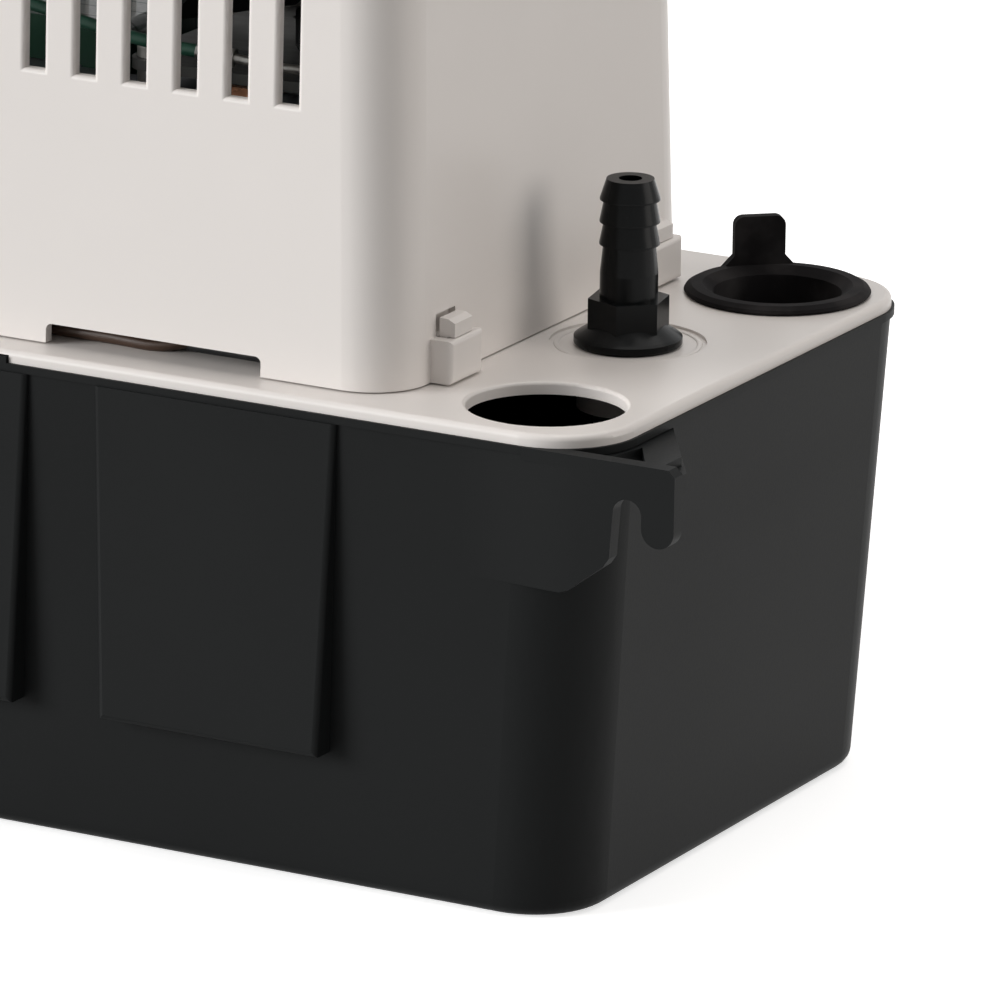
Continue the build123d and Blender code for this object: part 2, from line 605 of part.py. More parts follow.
def make_check_valve_seat():
    foot = VALVE_FOOT_Z - VALVE_STEM_LENGTH
    top = foot + SEAT_LENGTH
    outer = BALL_RADIUS + BALL_CLEARANCE - 0.05
    spigot_foot = VALVE_SPIGOT_Z - NOZZLE_REACH
    return turned([(SEAT_BORE_RADIUS, spigot_foot), (NOZZLE_RADIUS, spigot_foot), (NOZZLE_RADIUS, VALVE_SPIGOT_Z),
                   (VALVE_STEM_RADIUS - 0.1, VALVE_SPIGOT_Z), (VALVE_STEM_RADIUS - 0.1, foot), (outer, foot),
                   (outer, top), (SEAT_BORE_RADIUS + 0.6, top), (SEAT_BORE_RADIUS, top - 1.0)], VALVE_X)


def make_check_valve_ball():
    return Pos(VALVE_X, 0, valve_ball_z()) * Sphere(BALL_RADIUS)


def make_inlet_plug(x, y, turn):
    outer = INLET_RADIUS - PLUG_CLEARANCE
    cup = outer - PLUG_WALL
    foot = -PLUG_DEPTH
    body = turned([(0, foot), (outer - 1.2, foot), (outer, foot + 2.5), (outer, -1.2), (outer - 0.8, -0.6),
                   (outer - 0.8, 0), (PLUG_FLANGE_RADIUS - 0.4, 0), (PLUG_FLANGE_RADIUS, 0.5),
                   (PLUG_FLANGE_RADIUS - 0.3, 1.0), (PLUG_FLANGE_RADIUS - 1.4, PLUG_FLANGE_HEIGHT),
                   (outer - 0.2, PLUG_FLANGE_HEIGHT), (cup, 0.2), (cup - 0.8, foot + PLUG_WALL), (0, foot + PLUG_WALL)])
    half = PLUG_TAB_WIDTH / 2
    tab = Pos(0, PLUG_TAB_HEIGHT / 2 + 0.4) * Rectangle(PLUG_TAB_WIDTH, PLUG_TAB_HEIGHT - 0.8)
    tab = fillet(tab.vertices().group_by(Axis.Y)[-1], PLUG_TAB_CORNER)
    root = make_face(Polyline((-half - 2.4, 0.8), (-half, 3.4), (half, 3.4), (half + 2.4, 0.8), close=True))
    tab_solid = Plane.YZ * (tab + root)
    tab_solid = Pos(outer + 0.8 - PLUG_TAB_THICKNESS / 2, 0, 0) * extrude(tab_solid, PLUG_TAB_THICKNESS)
    body += Rot(0, 0, turn) * tab_solid
    return Pos(x, y, DECK_TOP) * body


def make_stator_stack():
    body = Rectangle(2 * STACK_HALF, 2 * STACK_HALF)
    arms = Pos(-(LEG_NEAR + STACK_HALF) / 2, 0) * Rectangle(LEG_NEAR - STACK_HALF + 2, 2 * STACK_HALF - 8)
    leg = Pos(-LEG_NEAR - LEG_WIDTH / 2, 0) * Rectangle(LEG_WIDTH, 2 * STACK_HALF - 8)
    outline = body + arms + leg
    window = Pos(-(LEG_NEAR + WINDOW_NEAR) / 2, 0) * Rectangle(LEG_NEAR - WINDOW_NEAR, 2 * WINDOW_HALF)
    outline -= window + Circle(BORE_RADIUS)
    for sx in (-1, 1):
        outline -= Pos(sx * (BORE_RADIUS + 1.2), 0) * Rectangle(4, 1.6)
        for sy in (-1, 1):
            outline -= Pos(sx * BOLT_OFFSET, sy * BOLT_OFFSET) * Circle(BOLT_RADIUS + 0.2)
    stack = Pos(SHAFT_X, 0, STACK_FOOT_Z) * extrude(outline, STACK_HEIGHT)
    for side in (-1, 1):
        stack -= shading_ring(side, 0.15)
    return stack


def shading_ring(side, grow):
    """Copper strap threaded through the stack beside the bore, or the slot for it."""
    y = side * (BORE_RADIUS + 4.0)
    x = SHAFT_X + side * 9.0
    high = STACK_HEIGHT / 2 + 1.6 + grow
    centre = Pos(x, y, STACK_FOOT_Z + STACK_HEIGHT / 2)
    outer = Box(12 + 2 * grow, 2 + 2 * grow, 2 * high)
    inner = Box(8 - 2 * grow, 3, 2 * high - 3.2 - 2 * grow)
    return centre * (outer - inner)


def make_shading_rings():
    return Compound([ring for side in (-1, 1) for ring in shading_ring(side, 0.0).solids()])


def coil_space(grow):
    """Box round the stator leg, grown outwards by the coil's build."""
    low = SHAFT_X - LEG_NEAR - LEG_WIDTH - grow
    high = SHAFT_X - LEG_NEAR + grow
    half = WINDOW_HALF - 0.6
    return block(low, high, -half, half, STACK_FOOT_Z - grow, STACK_TOP_Z + grow)


def make_coil_bobbin():
    sleeve = coil_space(BOBBIN_WALL + 0.2)
    half = WINDOW_HALF - 0.6
    flange = coil_space(COIL_BUILD + 1.0)
    for sy in (-1, 1):
        cut = block(-200, 200, *sorted((sy * (half - 1.4), sy * 100)), 0, 300)
        sleeve += flange & cut
    return sleeve - coil_space(0.2)


def make_coil_winding():
    half = WINDOW_HALF - 0.6 - 1.4
    outer = coil_space(COIL_BUILD) & block(-200, 200, -half, half, 0, 300)
    outer = fillet(outer.edges().filter_by(Axis.Y), 3.0)
    return outer - coil_space(BOBBIN_WALL + 0.2)


def bracket_plate(z, arms):
    """Sheet-metal bearing bracket, with mounting arms when it carries the motor."""
    outline = RectangleRounded(2 * BRACKET_HALF_X, 2 * (BOLT_OFFSET + 5), 4)
    if arms:
        for sx in (-1, 1):
            outline += Pos(sx * POST_X, 0) * RectangleRounded(12, 2 * BRACKET_ARM_Y + 12, 5.9)
    for sx in (-1, 1):
        for sy in (-1, 1):
            outline -= Pos(sx * BOLT_OFFSET, sy * BOLT_OFFSET) * Circle(BOLT_RADIUS + 0.1)
            outline -= Pos(sx * 11.5, sy * 17.5) * RectangleRounded(13, 9, 2)
            if arms:
                outline -= Pos(sx * POST_X, sy * BRACKET_ARM_Y) * Circle(2.6)
    return Pos(SHAFT_X, 0, z) * extrude(outline, BRACKET_THICKNESS)


def make_lower_bracket():
    cup = BEARING_RADIUS + BEARING_CUP_WALL
    plate = bracket_plate(LOWER_BRACKET_Z, True)
    plate += rod(cup, LOWER_BRACKET_Z - BEARING_HEIGHT, LOWER_BRACKET_Z, SHAFT_X)
    plate -= rod(BEARING_RADIUS, LOWER_BRACKET_Z - BEARING_HEIGHT + 1, LOWER_BRACKET_Z + 5, SHAFT_X)
    return plate - rod(SHAFT_RADIUS + 1, 0, LOWER_BRACKET_Z, SHAFT_X)


def make_upper_bracket():
    cup = BEARING_RADIUS + BEARING_CUP_WALL
    top = UPPER_BRACKET_Z + BRACKET_THICKNESS
    plate = bracket_plate(UPPER_BRACKET_Z, False)
    plate += rod(cup, UPPER_BRACKET_Z, top + BEARING_HEIGHT - BRACKET_THICKNESS, SHAFT_X)
    plate -= rod(BEARING_RADIUS, UPPER_BRACKET_Z - 1, top + BEARING_HEIGHT - BRACKET_THICKNESS - 1, SHAFT_X)
    return plate - rod(SHAFT_RADIUS + 1, UPPER_BRACKET_Z, OVERALL_HEIGHT, SHAFT_X)


def make_bearing(foot_z):
    body = rod(BEARING_RADIUS, foot_z, foot_z + BEARING_HEIGHT - 1, SHAFT_X)
    return body - rod(SHAFT_RADIUS + BEARING_CLEARANCE, foot_z - 1, foot_z + BEARING_HEIGHT, SHAFT_X)


def bolt_places():
    return [(SHAFT_X + sx * BOLT_OFFSET, sy * BOLT_OFFSET) for sx in (-1, 1) for sy in (-1, 1)]


def make_through_bolts():
    top = UPPER_BRACKET_Z + BRACKET_THICKNESS
    bolts = []
    for x, y in bolt_places():
        bolt = rod(BOLT_RADIUS, LOWER_BRACKET_Z - 4, top, x, y) + rod(3.6, top, top + 2.4, x, y)
        bolts += bolt.solids()
    return Compound(bolts)


def make_bolt_nuts():
    nuts = []
    for x, y in bolt_places():
        nut = extrude(RegularPolygon(3.5, 6, major_radius=False) - Circle(BOLT_RADIUS), 3.0)
        nuts += (Pos(x, y, LOWER_BRACKET_Z - 3.0) * nut).solids()
    return Compound(nuts)


def make_bracket_spacers():
    spacers = []
    for x, y in bolt_places():
        spacers += tube(SPACER_RADIUS, BOLT_RADIUS + 0.2, LOWER_BRACKET_Z + BRACKET_THICKNESS, STACK_FOOT_Z, x, y).solids()
        spacers += tube(SPACER_RADIUS, BOLT_RADIUS + 0.2, STACK_TOP_Z, UPPER_BRACKET_Z, x, y).solids()
    return Compound(spacers)


def make_motor_grommets():
    grommets = []
    for x, y in motor_posts():
        foot = LOWER_BRACKET_Z - GROMMET_HEIGHT
        grommets += tube(GROMMET_RADIUS, 1.7, foot, LOWER_BRACKET_Z, x, y).solids()
    return Compound(grommets)


def make_motor_screws():
    top = LOWER_BRACKET_Z + BRACKET_THICKNESS
    screws = []
    for x, y in motor_posts():
        screws += (Pos(x, y, top) * screw(SCREW_RADIUS, GROMMET_HEIGHT + BRACKET_THICKNESS + SCREW_BITE, 3.6, 2.0)).solids()
    return Compound(screws)


def make_rotor_core():
    radius = BORE_RADIUS - AIR_GAP
    core = rod(radius, STACK_FOOT_Z, STACK_TOP_Z, SHAFT_X)
    return core - rod(SHAFT_RADIUS, 0, OVERALL_HEIGHT, SHAFT_X)


def make_rotor_end_rings():
    radius = BORE_RADIUS - AIR_GAP - 1.0
    rings = tube(radius, SHAFT_RADIUS + 4, STACK_FOOT_Z - END_RING_HEIGHT, STACK_FOOT_Z, SHAFT_X).solids()
    rings += tube(radius, SHAFT_RADIUS + 4, STACK_TOP_Z, STACK_TOP_Z + END_RING_HEIGHT, SHAFT_X).solids()
    return Compound(rings)


def fan_foot_z():
    return UPPER_BRACKET_Z + BEARING_HEIGHT + 1.2


def make_motor_shaft():
    return rod(SHAFT_RADIUS, VOLUTE_FOOT_Z + 1.0, fan_foot_z() + FAN_HEIGHT - 1, SHAFT_X)


def make_cooling_fan():
    foot = fan_foot_z()
    hub = rod(FAN_HUB_RADIUS, foot, foot + FAN_HEIGHT, SHAFT_X)
    mid = foot + FAN_HEIGHT / 2
    span = FAN_RADIUS - FAN_HUB_RADIUS + 2
    chord = (FAN_HEIGHT - 1.6) / math.sin(math.radians(FAN_BLADE_PITCH))
    blade = Pos(FAN_HUB_RADIUS - 2 + span / 2, 0, 0) * Rot(FAN_BLADE_PITCH, 0, 0) * Box(span, chord, FAN_BLADE_THICKNESS)
    for index in range(FAN_BLADES):
        hub += Pos(SHAFT_X, 0, mid) * Rot(0, 0, index * 360 / FAN_BLADES) * blade
    hub &= rod(FAN_RADIUS, foot, foot + FAN_HEIGHT, SHAFT_X)
    return hub - rod(SHAFT_RADIUS, 0, OVERALL_HEIGHT, SHAFT_X)


def make_shaft_slinger():
    foot = DECK_TOP + COLLAR_HEIGHT + SLINGER_GAP
    top = foot + SLINGER_HEIGHT
    return turned([(SHAFT_RADIUS, foot), (SLINGER_RADIUS, foot), (SLINGER_RADIUS, foot + 1), (SHAFT_RADIUS + 2, top),
                   (SHAFT_RADIUS, top)], SHAFT_X)


def nozzle_turn():
    """Angle that points the volute's tangential outlet at the check valve's axis."""
    return math.degrees(math.asin(NOZZLE_OFFSET / (VALVE_X - SHAFT_X)))


def nozzle_point(along, z):
    """A point on the outlet's axis, by its distance from the point beside the shaft."""
    turn = math.radians(nozzle_turn())
    x = SHAFT_X + along * math.cos(turn) + NOZZLE_OFFSET * math.sin(turn)
    y = along * math.sin(turn) - NOZZLE_OFFSET * math.cos(turn)
    return Vector(x, y, z)


def nozzle_bar(radius, start, end):
    """Round bar along the outlet's axis."""
    first = nozzle_point(start, NOZZLE_Z)
    last = nozzle_point(end, NOZZLE_Z)
    return extrude(Plane(first, z_dir=last - first) * Circle(radius), (last - first).length)


def flange_screw_places():
    radius = COLUMN_FLANGE_RADIUS - 4.5
    angles = [math.radians(60 + 120 * index) for index in range(3)]
    return [(SHAFT_X + radius * math.cos(a), radius * math.sin(a)) for a in angles]


def intake_screw_places():
    radius = VOLUTE_RADIUS - 3.0
    angles = [math.radians(100 + 120 * index) for index in range(3)]
    return [(SHAFT_X + radius * math.cos(a), radius * math.sin(a)) for a in angles]


def make_pump_housing():
    flange_foot = TANK_HEIGHT - COLUMN_FLANGE_HEIGHT
    body = rod(COLUMN_RADIUS, VOLUTE_TOP_Z - 1, TANK_HEIGHT, SHAFT_X)
    body += rod(COLUMN_FLANGE_RADIUS, flange_foot, TANK_HEIGHT, SHAFT_X)
    body += rod(VOLUTE_RADIUS, VOLUTE_FOOT_Z, VOLUTE_TOP_Z, SHAFT_X)
    for index in range(4):
        rib = block(0, COLUMN_RADIUS + 6, -1, 1, VOLUTE_TOP_Z - 0.5, VOLUTE_TOP_Z + 12)
        rib -= Pos(COLUMN_RADIUS + 8, 0, VOLUTE_TOP_Z + 12) * Rot(90, 0, 0) * Cylinder(8, 6)
        body += Pos(SHAFT_X, 0, 0) * Rot(0, 0, 45 + 90 * index) * rib
    body += nozzle_bar(NOZZLE_RADIUS, 8, VOLUTE_RADIUS + NOZZLE_REACH)
    body -= rod(COLUMN_RADIUS - COLUMN_WALL, VOLUTE_TOP_Z + 2, TANK_HEIGHT + 1, SHAFT_X)
    body -= rod(IMPELLER_RADIUS + 2.5, VOLUTE_FOOT_Z - 1, VOLUTE_FOOT_Z + CHAMBER_HEIGHT, SHAFT_X)
    body -= rod(SHAFT_RADIUS + 0.6, 0, TANK_HEIGHT, SHAFT_X)
    body -= nozzle_bar(NOZZLE_BORE, 6, VOLUTE_RADIUS + NOZZLE_REACH + 1)
    for index in range(2):
        window = block(-40, 40, -4, 4, VOLUTE_TOP_Z + 22, VOLUTE_TOP_Z + 42)
        body -= Pos(SHAFT_X, 0, 0) * Rot(0, 0, 90 * index) * (window & Cylinder(COLUMN_RADIUS + 3, 400))
    for x, y in flange_screw_places():
        body -= rod(HOUSING_SCREW_RADIUS + 0.1, flange_foot - 1, TANK_HEIGHT + 1, x, y)
    for x, y in intake_screw_places():
        body -= rod(INTAKE_SCREW_RADIUS + 0.05, VOLUTE_FOOT_Z - 1, VOLUTE_FOOT_Z + INTAKE_SCREW_BITE + 1, x, y)
    return body


def make_intake_plate():
    foot = VOLUTE_FOOT_Z - INTAKE_PLATE
    plate = rod(VOLUTE_RADIUS, foot, VOLUTE_FOOT_Z, SHAFT_X)
    plate -= rod(INTAKE_EYE_RADIUS, foot - 1, VOLUTE_FOOT_Z + 1, SHAFT_X)
    for index in range(3):
        bar = block(-INTAKE_EYE_RADIUS - 1, INTAKE_EYE_RADIUS + 1, -0.8, 0.8, foot, foot + 1.2)
        plate += Pos(SHAFT_X, 0, 0) * Rot(0, 0, 60 * index) * bar
    for index in range(6):
        angle = math.radians(10 + 60 * index)
        x = SHAFT_X + (VOLUTE_RADIUS - 4) * math.cos(angle)
        y = (VOLUTE_RADIUS - 4) * math.sin(angle)
        plate += rod(INTAKE_FOOT_RADIUS, TANK_FLOOR + INTAKE_FOOT_GAP, foot + 1, x, y)
    for x, y in intake_screw_places():
        plate -= rod(INTAKE_SCREW_RADIUS + 0.1, foot - 1, VOLUTE_FOOT_Z + 1, x, y)
    return plate


def make_impeller():
    top = VOLUTE_FOOT_Z + CHAMBER_HEIGHT - IMPELLER_CLEARANCE
    disc_foot = top - IMPELLER_DISC
    vane_foot = disc_foot - IMPELLER_VANE
    body = rod(IMPELLER_RADIUS, disc_foot, top, SHAFT_X)
    body += rod(5.0, vane_foot, top, SHAFT_X)
    inner = 6.0
    sweep = ThreePointArc((inner - 2, 0), ((inner + IMPELLER_RADIUS) / 2, 3.2), (IMPELLER_RADIUS - 0.3, -1.5))
    vane = trace(sweep, 1.4)
    for index in range(IMPELLER_VANES):
        turn = index * 360 / IMPELLER_VANES
        body += Pos(SHAFT_X, 0, vane_foot) * Rot(0, 0, turn) * extrude(vane, IMPELLER_VANE + 0.5)
    body &= rod(IMPELLER_RADIUS, 0, OVERALL_HEIGHT, SHAFT_X)
    return body - rod(SHAFT_RADIUS, 0, OVERALL_HEIGHT, SHAFT_X)


def make_discharge_tube():
    start = nozzle_point(VOLUTE_RADIUS - 2, NOZZLE_Z)
    corner = Vector(VALVE_X, 0, NOZZLE_Z)
    end = Vector(VALVE_X, 0, VALVE_SPIGOT_Z - TUBE_GAP)
    path = FilletPolyline(start, corner, end, radius=TUBE_BEND)
    ring = Circle(TUBE_RADIUS) - Circle(TUBE_BORE)
    body = sweep(Plane(start, z_dir=corner - start) * ring, path)
    return body - rod(VOLUTE_RADIUS + TUBE_GAP, 0, VOLUTE_TOP_Z + 1, SHAFT_X)


def make_housing_screws():
    screws = []
    for x, y in flange_screw_places():
        item = Rot(180, 0, 0) * screw(HOUSING_SCREW_RADIUS, COLUMN_FLANGE_HEIGHT + DECK_THICKNESS - 0.8, 3.0, 1.8)
        screws += (Pos(x, y, TANK_HEIGHT - COLUMN_FLANGE_HEIGHT) * item).solids()
    return Compound(screws)


def make_intake_screws():
    screws = []
    for x, y in intake_screw_places():
        item = Rot(180, 0, 0) * screw(INTAKE_SCREW_RADIUS, INTAKE_PLATE + INTAKE_SCREW_BITE, 2.2, 1.4)
        screws += (Pos(x, y, VOLUTE_FOOT_Z - INTAKE_PLATE) * item).solids()
    return Compound(screws)


def make_float():
    body = extrude(RectangleRounded(FLOAT_SIDE, FLOAT_SIDE, FLOAT_CORNER), FLOAT_HEIGHT)
    body = fillet(body.faces().sort_by(Axis.Z)[-1].edges() + body.faces().sort_by(Axis.Z)[0].edges(), 2.0)
    body -= Cylinder(ROD_RADIUS, 4 * FLOAT_HEIGHT)
    return Pos(FLOAT_X, 0, FLOAT_REST_Z) * body


def make_float_rod():
    return rod(ROD_RADIUS, FLOAT_REST_Z - 4, LEVER_Z + 8, FLOAT_X)


def make_rod_collars():
    half = LEVER_THICKNESS / 2
    lift = LEVER_ARM * math.sin(math.radians(LEVER_SWING))
    lower_top = LEVER_Z - half - (FLOAT_TRAVEL - lift) - COLLAR_LIFT_GAP
    upper_foot = LEVER_Z + half + 1.0
    float_top = FLOAT_REST_Z + FLOAT_HEIGHT
    levels = [(upper_foot, upper_foot + ROD_COLLAR_HEIGHT), (lower_top - ROD_COLLAR_HEIGHT, lower_top),
              (FLOAT_REST_Z - 1.5, FLOAT_REST_Z), (float_top, float_top + 1.5)]
    rings = [tube(ROD_COLLAR_RADIUS, ROD_RADIUS, low, high, FLOAT_X) for low, high in levels]
    return Compound([solid for ring in rings for solid in ring.solids()])


def cheek_half():
    """Half the space between the switch bracket's cheeks."""
    return SWITCH_GAP / 2 + SWITCH_WIDTH + 0.1


def switch_foot_z():
    return LEVER_Z + LEVER_THICKNESS / 2 + SWITCH_LIFT


def switch_span():
    """Low and high X of the switch bodies, whose plungers stand over the lever."""
    high = PIVOT_X + PLUNGER_ARM + SWITCH_END
    return high - SWITCH_LENGTH, high


def switch_screw_places():
    low, high = switch_span()
    mid = switch_foot_z() + SWITCH_HEIGHT - 4.0
    return [(low + 3.0, mid), (high - 3.0, mid)]


def bracket_screw_places():
    """Screws that hold the switch bracket's feet to the deck."""
    low, high = switch_span()
    return [((low + high) / 2 - 2, side * (cheek_half() + CHEEK + 2.6)) for side in (-1, 1)]


def make_switch_bracket():
    half = cheek_half()
    low, high = switch_span()
    top = switch_foot_z() + SWITCH_HEIGHT
    body = block(low - 4, high, -half - 7, half + 7, DECK_TOP, DECK_TOP + CHEEK)
    body += block(low - 4, high, -half - CHEEK, -half, DECK_TOP, top)
    body += block(low - 4, high, half, half + CHEEK, DECK_TOP, top)
    cheek_cut = prism_y([(high + 1, DECK_TOP + CHEEK), (high - 9, DECK_TOP + CHEEK + 9), (high - 9, LEVER_Z - 9),
                         (high + 1, LEVER_Z - 3)], -half - 8, half + 8)
    body -= cheek_cut
    pin_hole = PIN_RADIUS + PIN_CLEARANCE
    body -= Pos(PIVOT_X, 0, LEVER_Z) * Rot(90, 0, 0) * Cylinder(pin_hole, 100)
    for x, z in switch_screw_places():
        body -= Pos(x, 0, z) * Rot(90, 0, 0) * Cylinder(SWITCH_SCREW_RADIUS + SWITCH_SCREW_CLEARANCE, 100)
    for x, y in bracket_screw_places():
        body -= rod(SCREW_RADIUS + 0.1, DECK_TOP - 1, DECK_TOP + CHEEK + 1, x, y)
    return body


def make_switch_body(side):
    low, high = switch_span()
    foot = switch_foot_z()
    y_low, y_high = sorted((side * SWITCH_GAP / 2, side * (SWITCH_GAP / 2 + SWITCH_WIDTH)))
    body = block(low, high, y_low, y_high, foot, foot + SWITCH_HEIGHT)
    for x, z in switch_screw_places():
        body -= Pos(x, 0, z) * Rot(90, 0, 0) * Cylinder(SWITCH_SCREW_RADIUS + SWITCH_SCREW_CLEARANCE, 100)
    x = PIVOT_X + PLUNGER_ARM
    y = side * (SWITCH_GAP + SWITCH_WIDTH) / 2
    body -= rod(1.6, foot - 1, foot + 5.0, x, y)
    for offset in (5.0, 13.0, 21.0):
        body += block(low + offset, low + offset + 0.8, y - 2.4, y + 2.4, foot + SWITCH_HEIGHT - 0.5,
                      foot + SWITCH_HEIGHT + 6)
    return body


def make_switch_plunger(side):
    foot = LEVER_Z + LEVER_THICKNESS / 2 + PLUNGER_GAP
    y = side * (SWITCH_GAP + SWITCH_WIDTH) / 2
    body = rod(1.3, foot, switch_foot_z() + 5.0 - PLUNGER_TRAVEL - 0.4, PIVOT_X + PLUNGER_ARM, y)
    return fillet(body.edges().group_by(Axis.Z)[0], 0.6)


def make_switch_lever():
    half = LEVER_THICKNESS / 2
    body = block(PIVOT_X, FLOAT_X + 7, -LEVER_WIDTH / 2, LEVER_WIDTH / 2, LEVER_Z - half, LEVER_Z + half)
    body -= block(PIVOT_X + 18, FLOAT_X + 9, 7, 20, 0, 300) + block(PIVOT_X + 18, FLOAT_X + 9, -20, -7, 0, 300)
    slot = ROD_RADIUS + 0.8
    body -= block(FLOAT_X - 4.5, FLOAT_X + 9, -slot, slot, 0, 300)
    barrel = Pos(PIVOT_X, 0, LEVER_Z) * Rot(90, 0, 0) * Cylinder(PIN_RADIUS + 1.6, LEVER_WIDTH)
    body += barrel
    return body - Pos(PIVOT_X, 0, LEVER_Z) * Rot(90, 0, 0) * Cylinder(PIN_RADIUS + PIN_CLEARANCE, 100)


def make_lever_pin():
    length = 2 * (cheek_half() + CHEEK) + 2
    pin = Pos(PIVOT_X, 0, LEVER_Z) * Rot(90, 0, 0) * Cylinder(PIN_RADIUS, length)
    head = Pos(PIVOT_X, -length / 2 - 0.6, LEVER_Z) * Rot(90, 0, 0) * Cylinder(2.6, 1.2)
    return pin + head


def make_switch_screws():
    length = 2 * (cheek_half() + CHEEK) + 3
    screws = []
    for x, z in switch_screw_places():
        body = Pos(x, 1.0, z) * Rot(90, 0, 0) * Cylinder(SWITCH_SCREW_RADIUS, length)
        body += Pos(x, -(cheek_half() + CHEEK) - 0.9, z) * Rot(90, 0, 0) * Cylinder(2.8, 1.8)
        screws += body.solids()
    return Compound(screws)


def make_bracket_screws():
    item = screw(SCREW_RADIUS, CHEEK + 1.6, 2.4, 1.6)
    screws = []
    for x, y in bracket_screw_places():
        screws += (Pos(x, y, DECK_TOP + CHEEK) * item).solids()
    return Compound(screws)


NODES = {
    "tank": make_tank,
    "deck_plate": make_deck_plate,
    "motor_cover": make_motor_cover,
    "check_valve_body": make_check_valve_body,
    "check_valve_seat": make_check_valve_seat,
    "check_valve_ball": make_check_valve_ball,
    "inlet_plug_rear_right": lambda: make_inlet_plug(INLET_X, INLET_Y, PLUG_TAB_TURN),
    "inlet_plug_front_left": lambda: make_inlet_plug(-INLET_X, -INLET_Y, PLUG_TAB_TURN - 180),
    "inlet_plug_rear_left": lambda: make_inlet_plug(-INLET_X, INLET_Y, 180 - PLUG_TAB_TURN),
    "stator_stack": make_stator_stack,
    "shading_rings": make_shading_rings,
    "coil_bobbin": make_coil_bobbin,
    "coil_winding": make_coil_winding,
    "lower_bearing_bracket": make_lower_bracket,
    "upper_bearing_bracket": make_upper_bracket,
    "lower_bearing": lambda: make_bearing(LOWER_BRACKET_Z - BEARING_HEIGHT + 1),
    "upper_bearing": lambda: make_bearing(UPPER_BRACKET_Z),
    "through_bolts": make_through_bolts,
    "bolt_nuts": make_bolt_nuts,
    "bracket_spacers": make_bracket_spacers,
    "motor_grommets": make_motor_grommets,
    "motor_screws": make_motor_screws,
    "rotor_core": make_rotor_core,
    "rotor_end_rings": make_rotor_end_rings,
    "motor_shaft": make_motor_shaft,
    "cooling_fan": make_cooling_fan,
    "shaft_slinger": make_shaft_slinger,
    "pump_housing": make_pump_housing,
    "intake_plate": make_intake_plate,
    "impeller": make_impeller,
    "discharge_tube": make_discharge_tube,
    "housing_screws": make_housing_screws,
    "intake_screws": make_intake_screws,
    "float": make_float,
    "float_rod": make_float_rod,
    "rod_collars": make_rod_collars,
    "switch_bracket": make_switch_bracket,
    "pump_switch": lambda: make_switch_body(-1),
    "safety_switch": lambda: make_switch_body(1),
    "pump_switch_plunger": lambda: make_switch_plunger(-1),
    "safety_switch_plunger": lambda: make_switch_plunger(1),
    "switch_lever": make_switch_lever,
    "lever_pin": make_lever_pin,
    "switch_screws": make_switch_screws,
    "bracket_screws": make_bracket_screws,
}


if __name__ == "__main__":
    os.makedirs("parts", exist_ok=True)
    for name, make in NODES.items():
        export_step(make(), f"parts/{name}.step")
        print(name)
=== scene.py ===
"""Looks of a condensate pump.

Finishes for every CAD node, the small pieces that only show, the camera and the lights. Pieces are shaped in
millimetres and made metres at the end. Materials and the stage are in metres.
"""

from __future__ import annotations

import logging
import math
from dataclasses import dataclass, field
from enum import Enum

import bmesh
import bpy
from mathutils import Matrix, Vector

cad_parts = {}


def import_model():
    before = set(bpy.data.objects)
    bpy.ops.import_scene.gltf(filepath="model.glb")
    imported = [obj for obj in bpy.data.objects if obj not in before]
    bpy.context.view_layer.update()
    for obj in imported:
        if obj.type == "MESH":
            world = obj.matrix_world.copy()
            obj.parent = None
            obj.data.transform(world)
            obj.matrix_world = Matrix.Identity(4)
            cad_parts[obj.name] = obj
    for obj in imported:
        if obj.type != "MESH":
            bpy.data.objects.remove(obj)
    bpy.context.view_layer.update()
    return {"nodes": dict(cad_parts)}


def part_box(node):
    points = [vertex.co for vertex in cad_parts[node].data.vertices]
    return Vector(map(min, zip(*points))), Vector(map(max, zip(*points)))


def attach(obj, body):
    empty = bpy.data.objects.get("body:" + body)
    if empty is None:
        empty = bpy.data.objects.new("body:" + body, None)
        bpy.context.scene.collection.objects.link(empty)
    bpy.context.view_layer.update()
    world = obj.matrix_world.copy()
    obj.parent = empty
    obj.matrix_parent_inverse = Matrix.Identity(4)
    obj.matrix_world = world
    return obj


LOG = logging.getLogger("condensate_pump")
MM = 0.001
TANK_RIM = 87.6
DECK_TOP = 89.9
RECESS_DEPTH = 0.5
EAR_FRONT = -63.5
SHARP_ABOVE = math.radians(35.0)


# ---------------------------------------------------------------------------
# Shader graphs
# ---------------------------------------------------------------------------


class Value:
    """A shader socket that can be used in Python arithmetic."""

    def __init__(self, graph: Graph, socket: bpy.types.NodeSocket) -> None:
        """Keep the socket and the graph that it belongs to.

        Args:
            graph: The graph that new maths nodes go into.
            socket: The output socket that carries the value.
        """
        self.graph = graph
        self.socket = socket

    def _math(self, operation: str, first: object, second: object) -> Value:
        """Add one Math node.

        Args:
            operation: Blender's name of the operation.
            first: The first operand, a Value or a number.
            second: The second operand, a Value or a number.

        Returns:
            The node's result.
        """
        return self.graph.add("ShaderNodeMath", {"operation": operation}, {0: first, 1: second})

    def __add__(self, other: object) -> Value:
        """Sum of two values."""
        return self._math("ADD", self, other)

    __radd__ = __add__

    def __sub__(self, other: object) -> Value:
        """Difference of two values."""
        return self._math("SUBTRACT", self, other)

    def __rsub__(self, other: object) -> Value:
        """Difference with the plain number first."""
        return self._math("SUBTRACT", other, self)

    def __mul__(self, other: object) -> Value:
        """Product of two values."""
        return self._math("MULTIPLY", self, other)

    __rmul__ = __mul__

    def ramp(self, low: float, high: float) -> Value:
        """Map the stretch from low to high smoothly onto 0 to 1.

        Args:
            low: Value that becomes 0.
            high: Value that becomes 1.

        Returns:
            The mapped value.
        """
        settings = {"interpolation_type": "SMOOTHSTEP"}
        return self.graph.add("ShaderNodeMapRange", settings, {0: self, 1: low, 2: high})


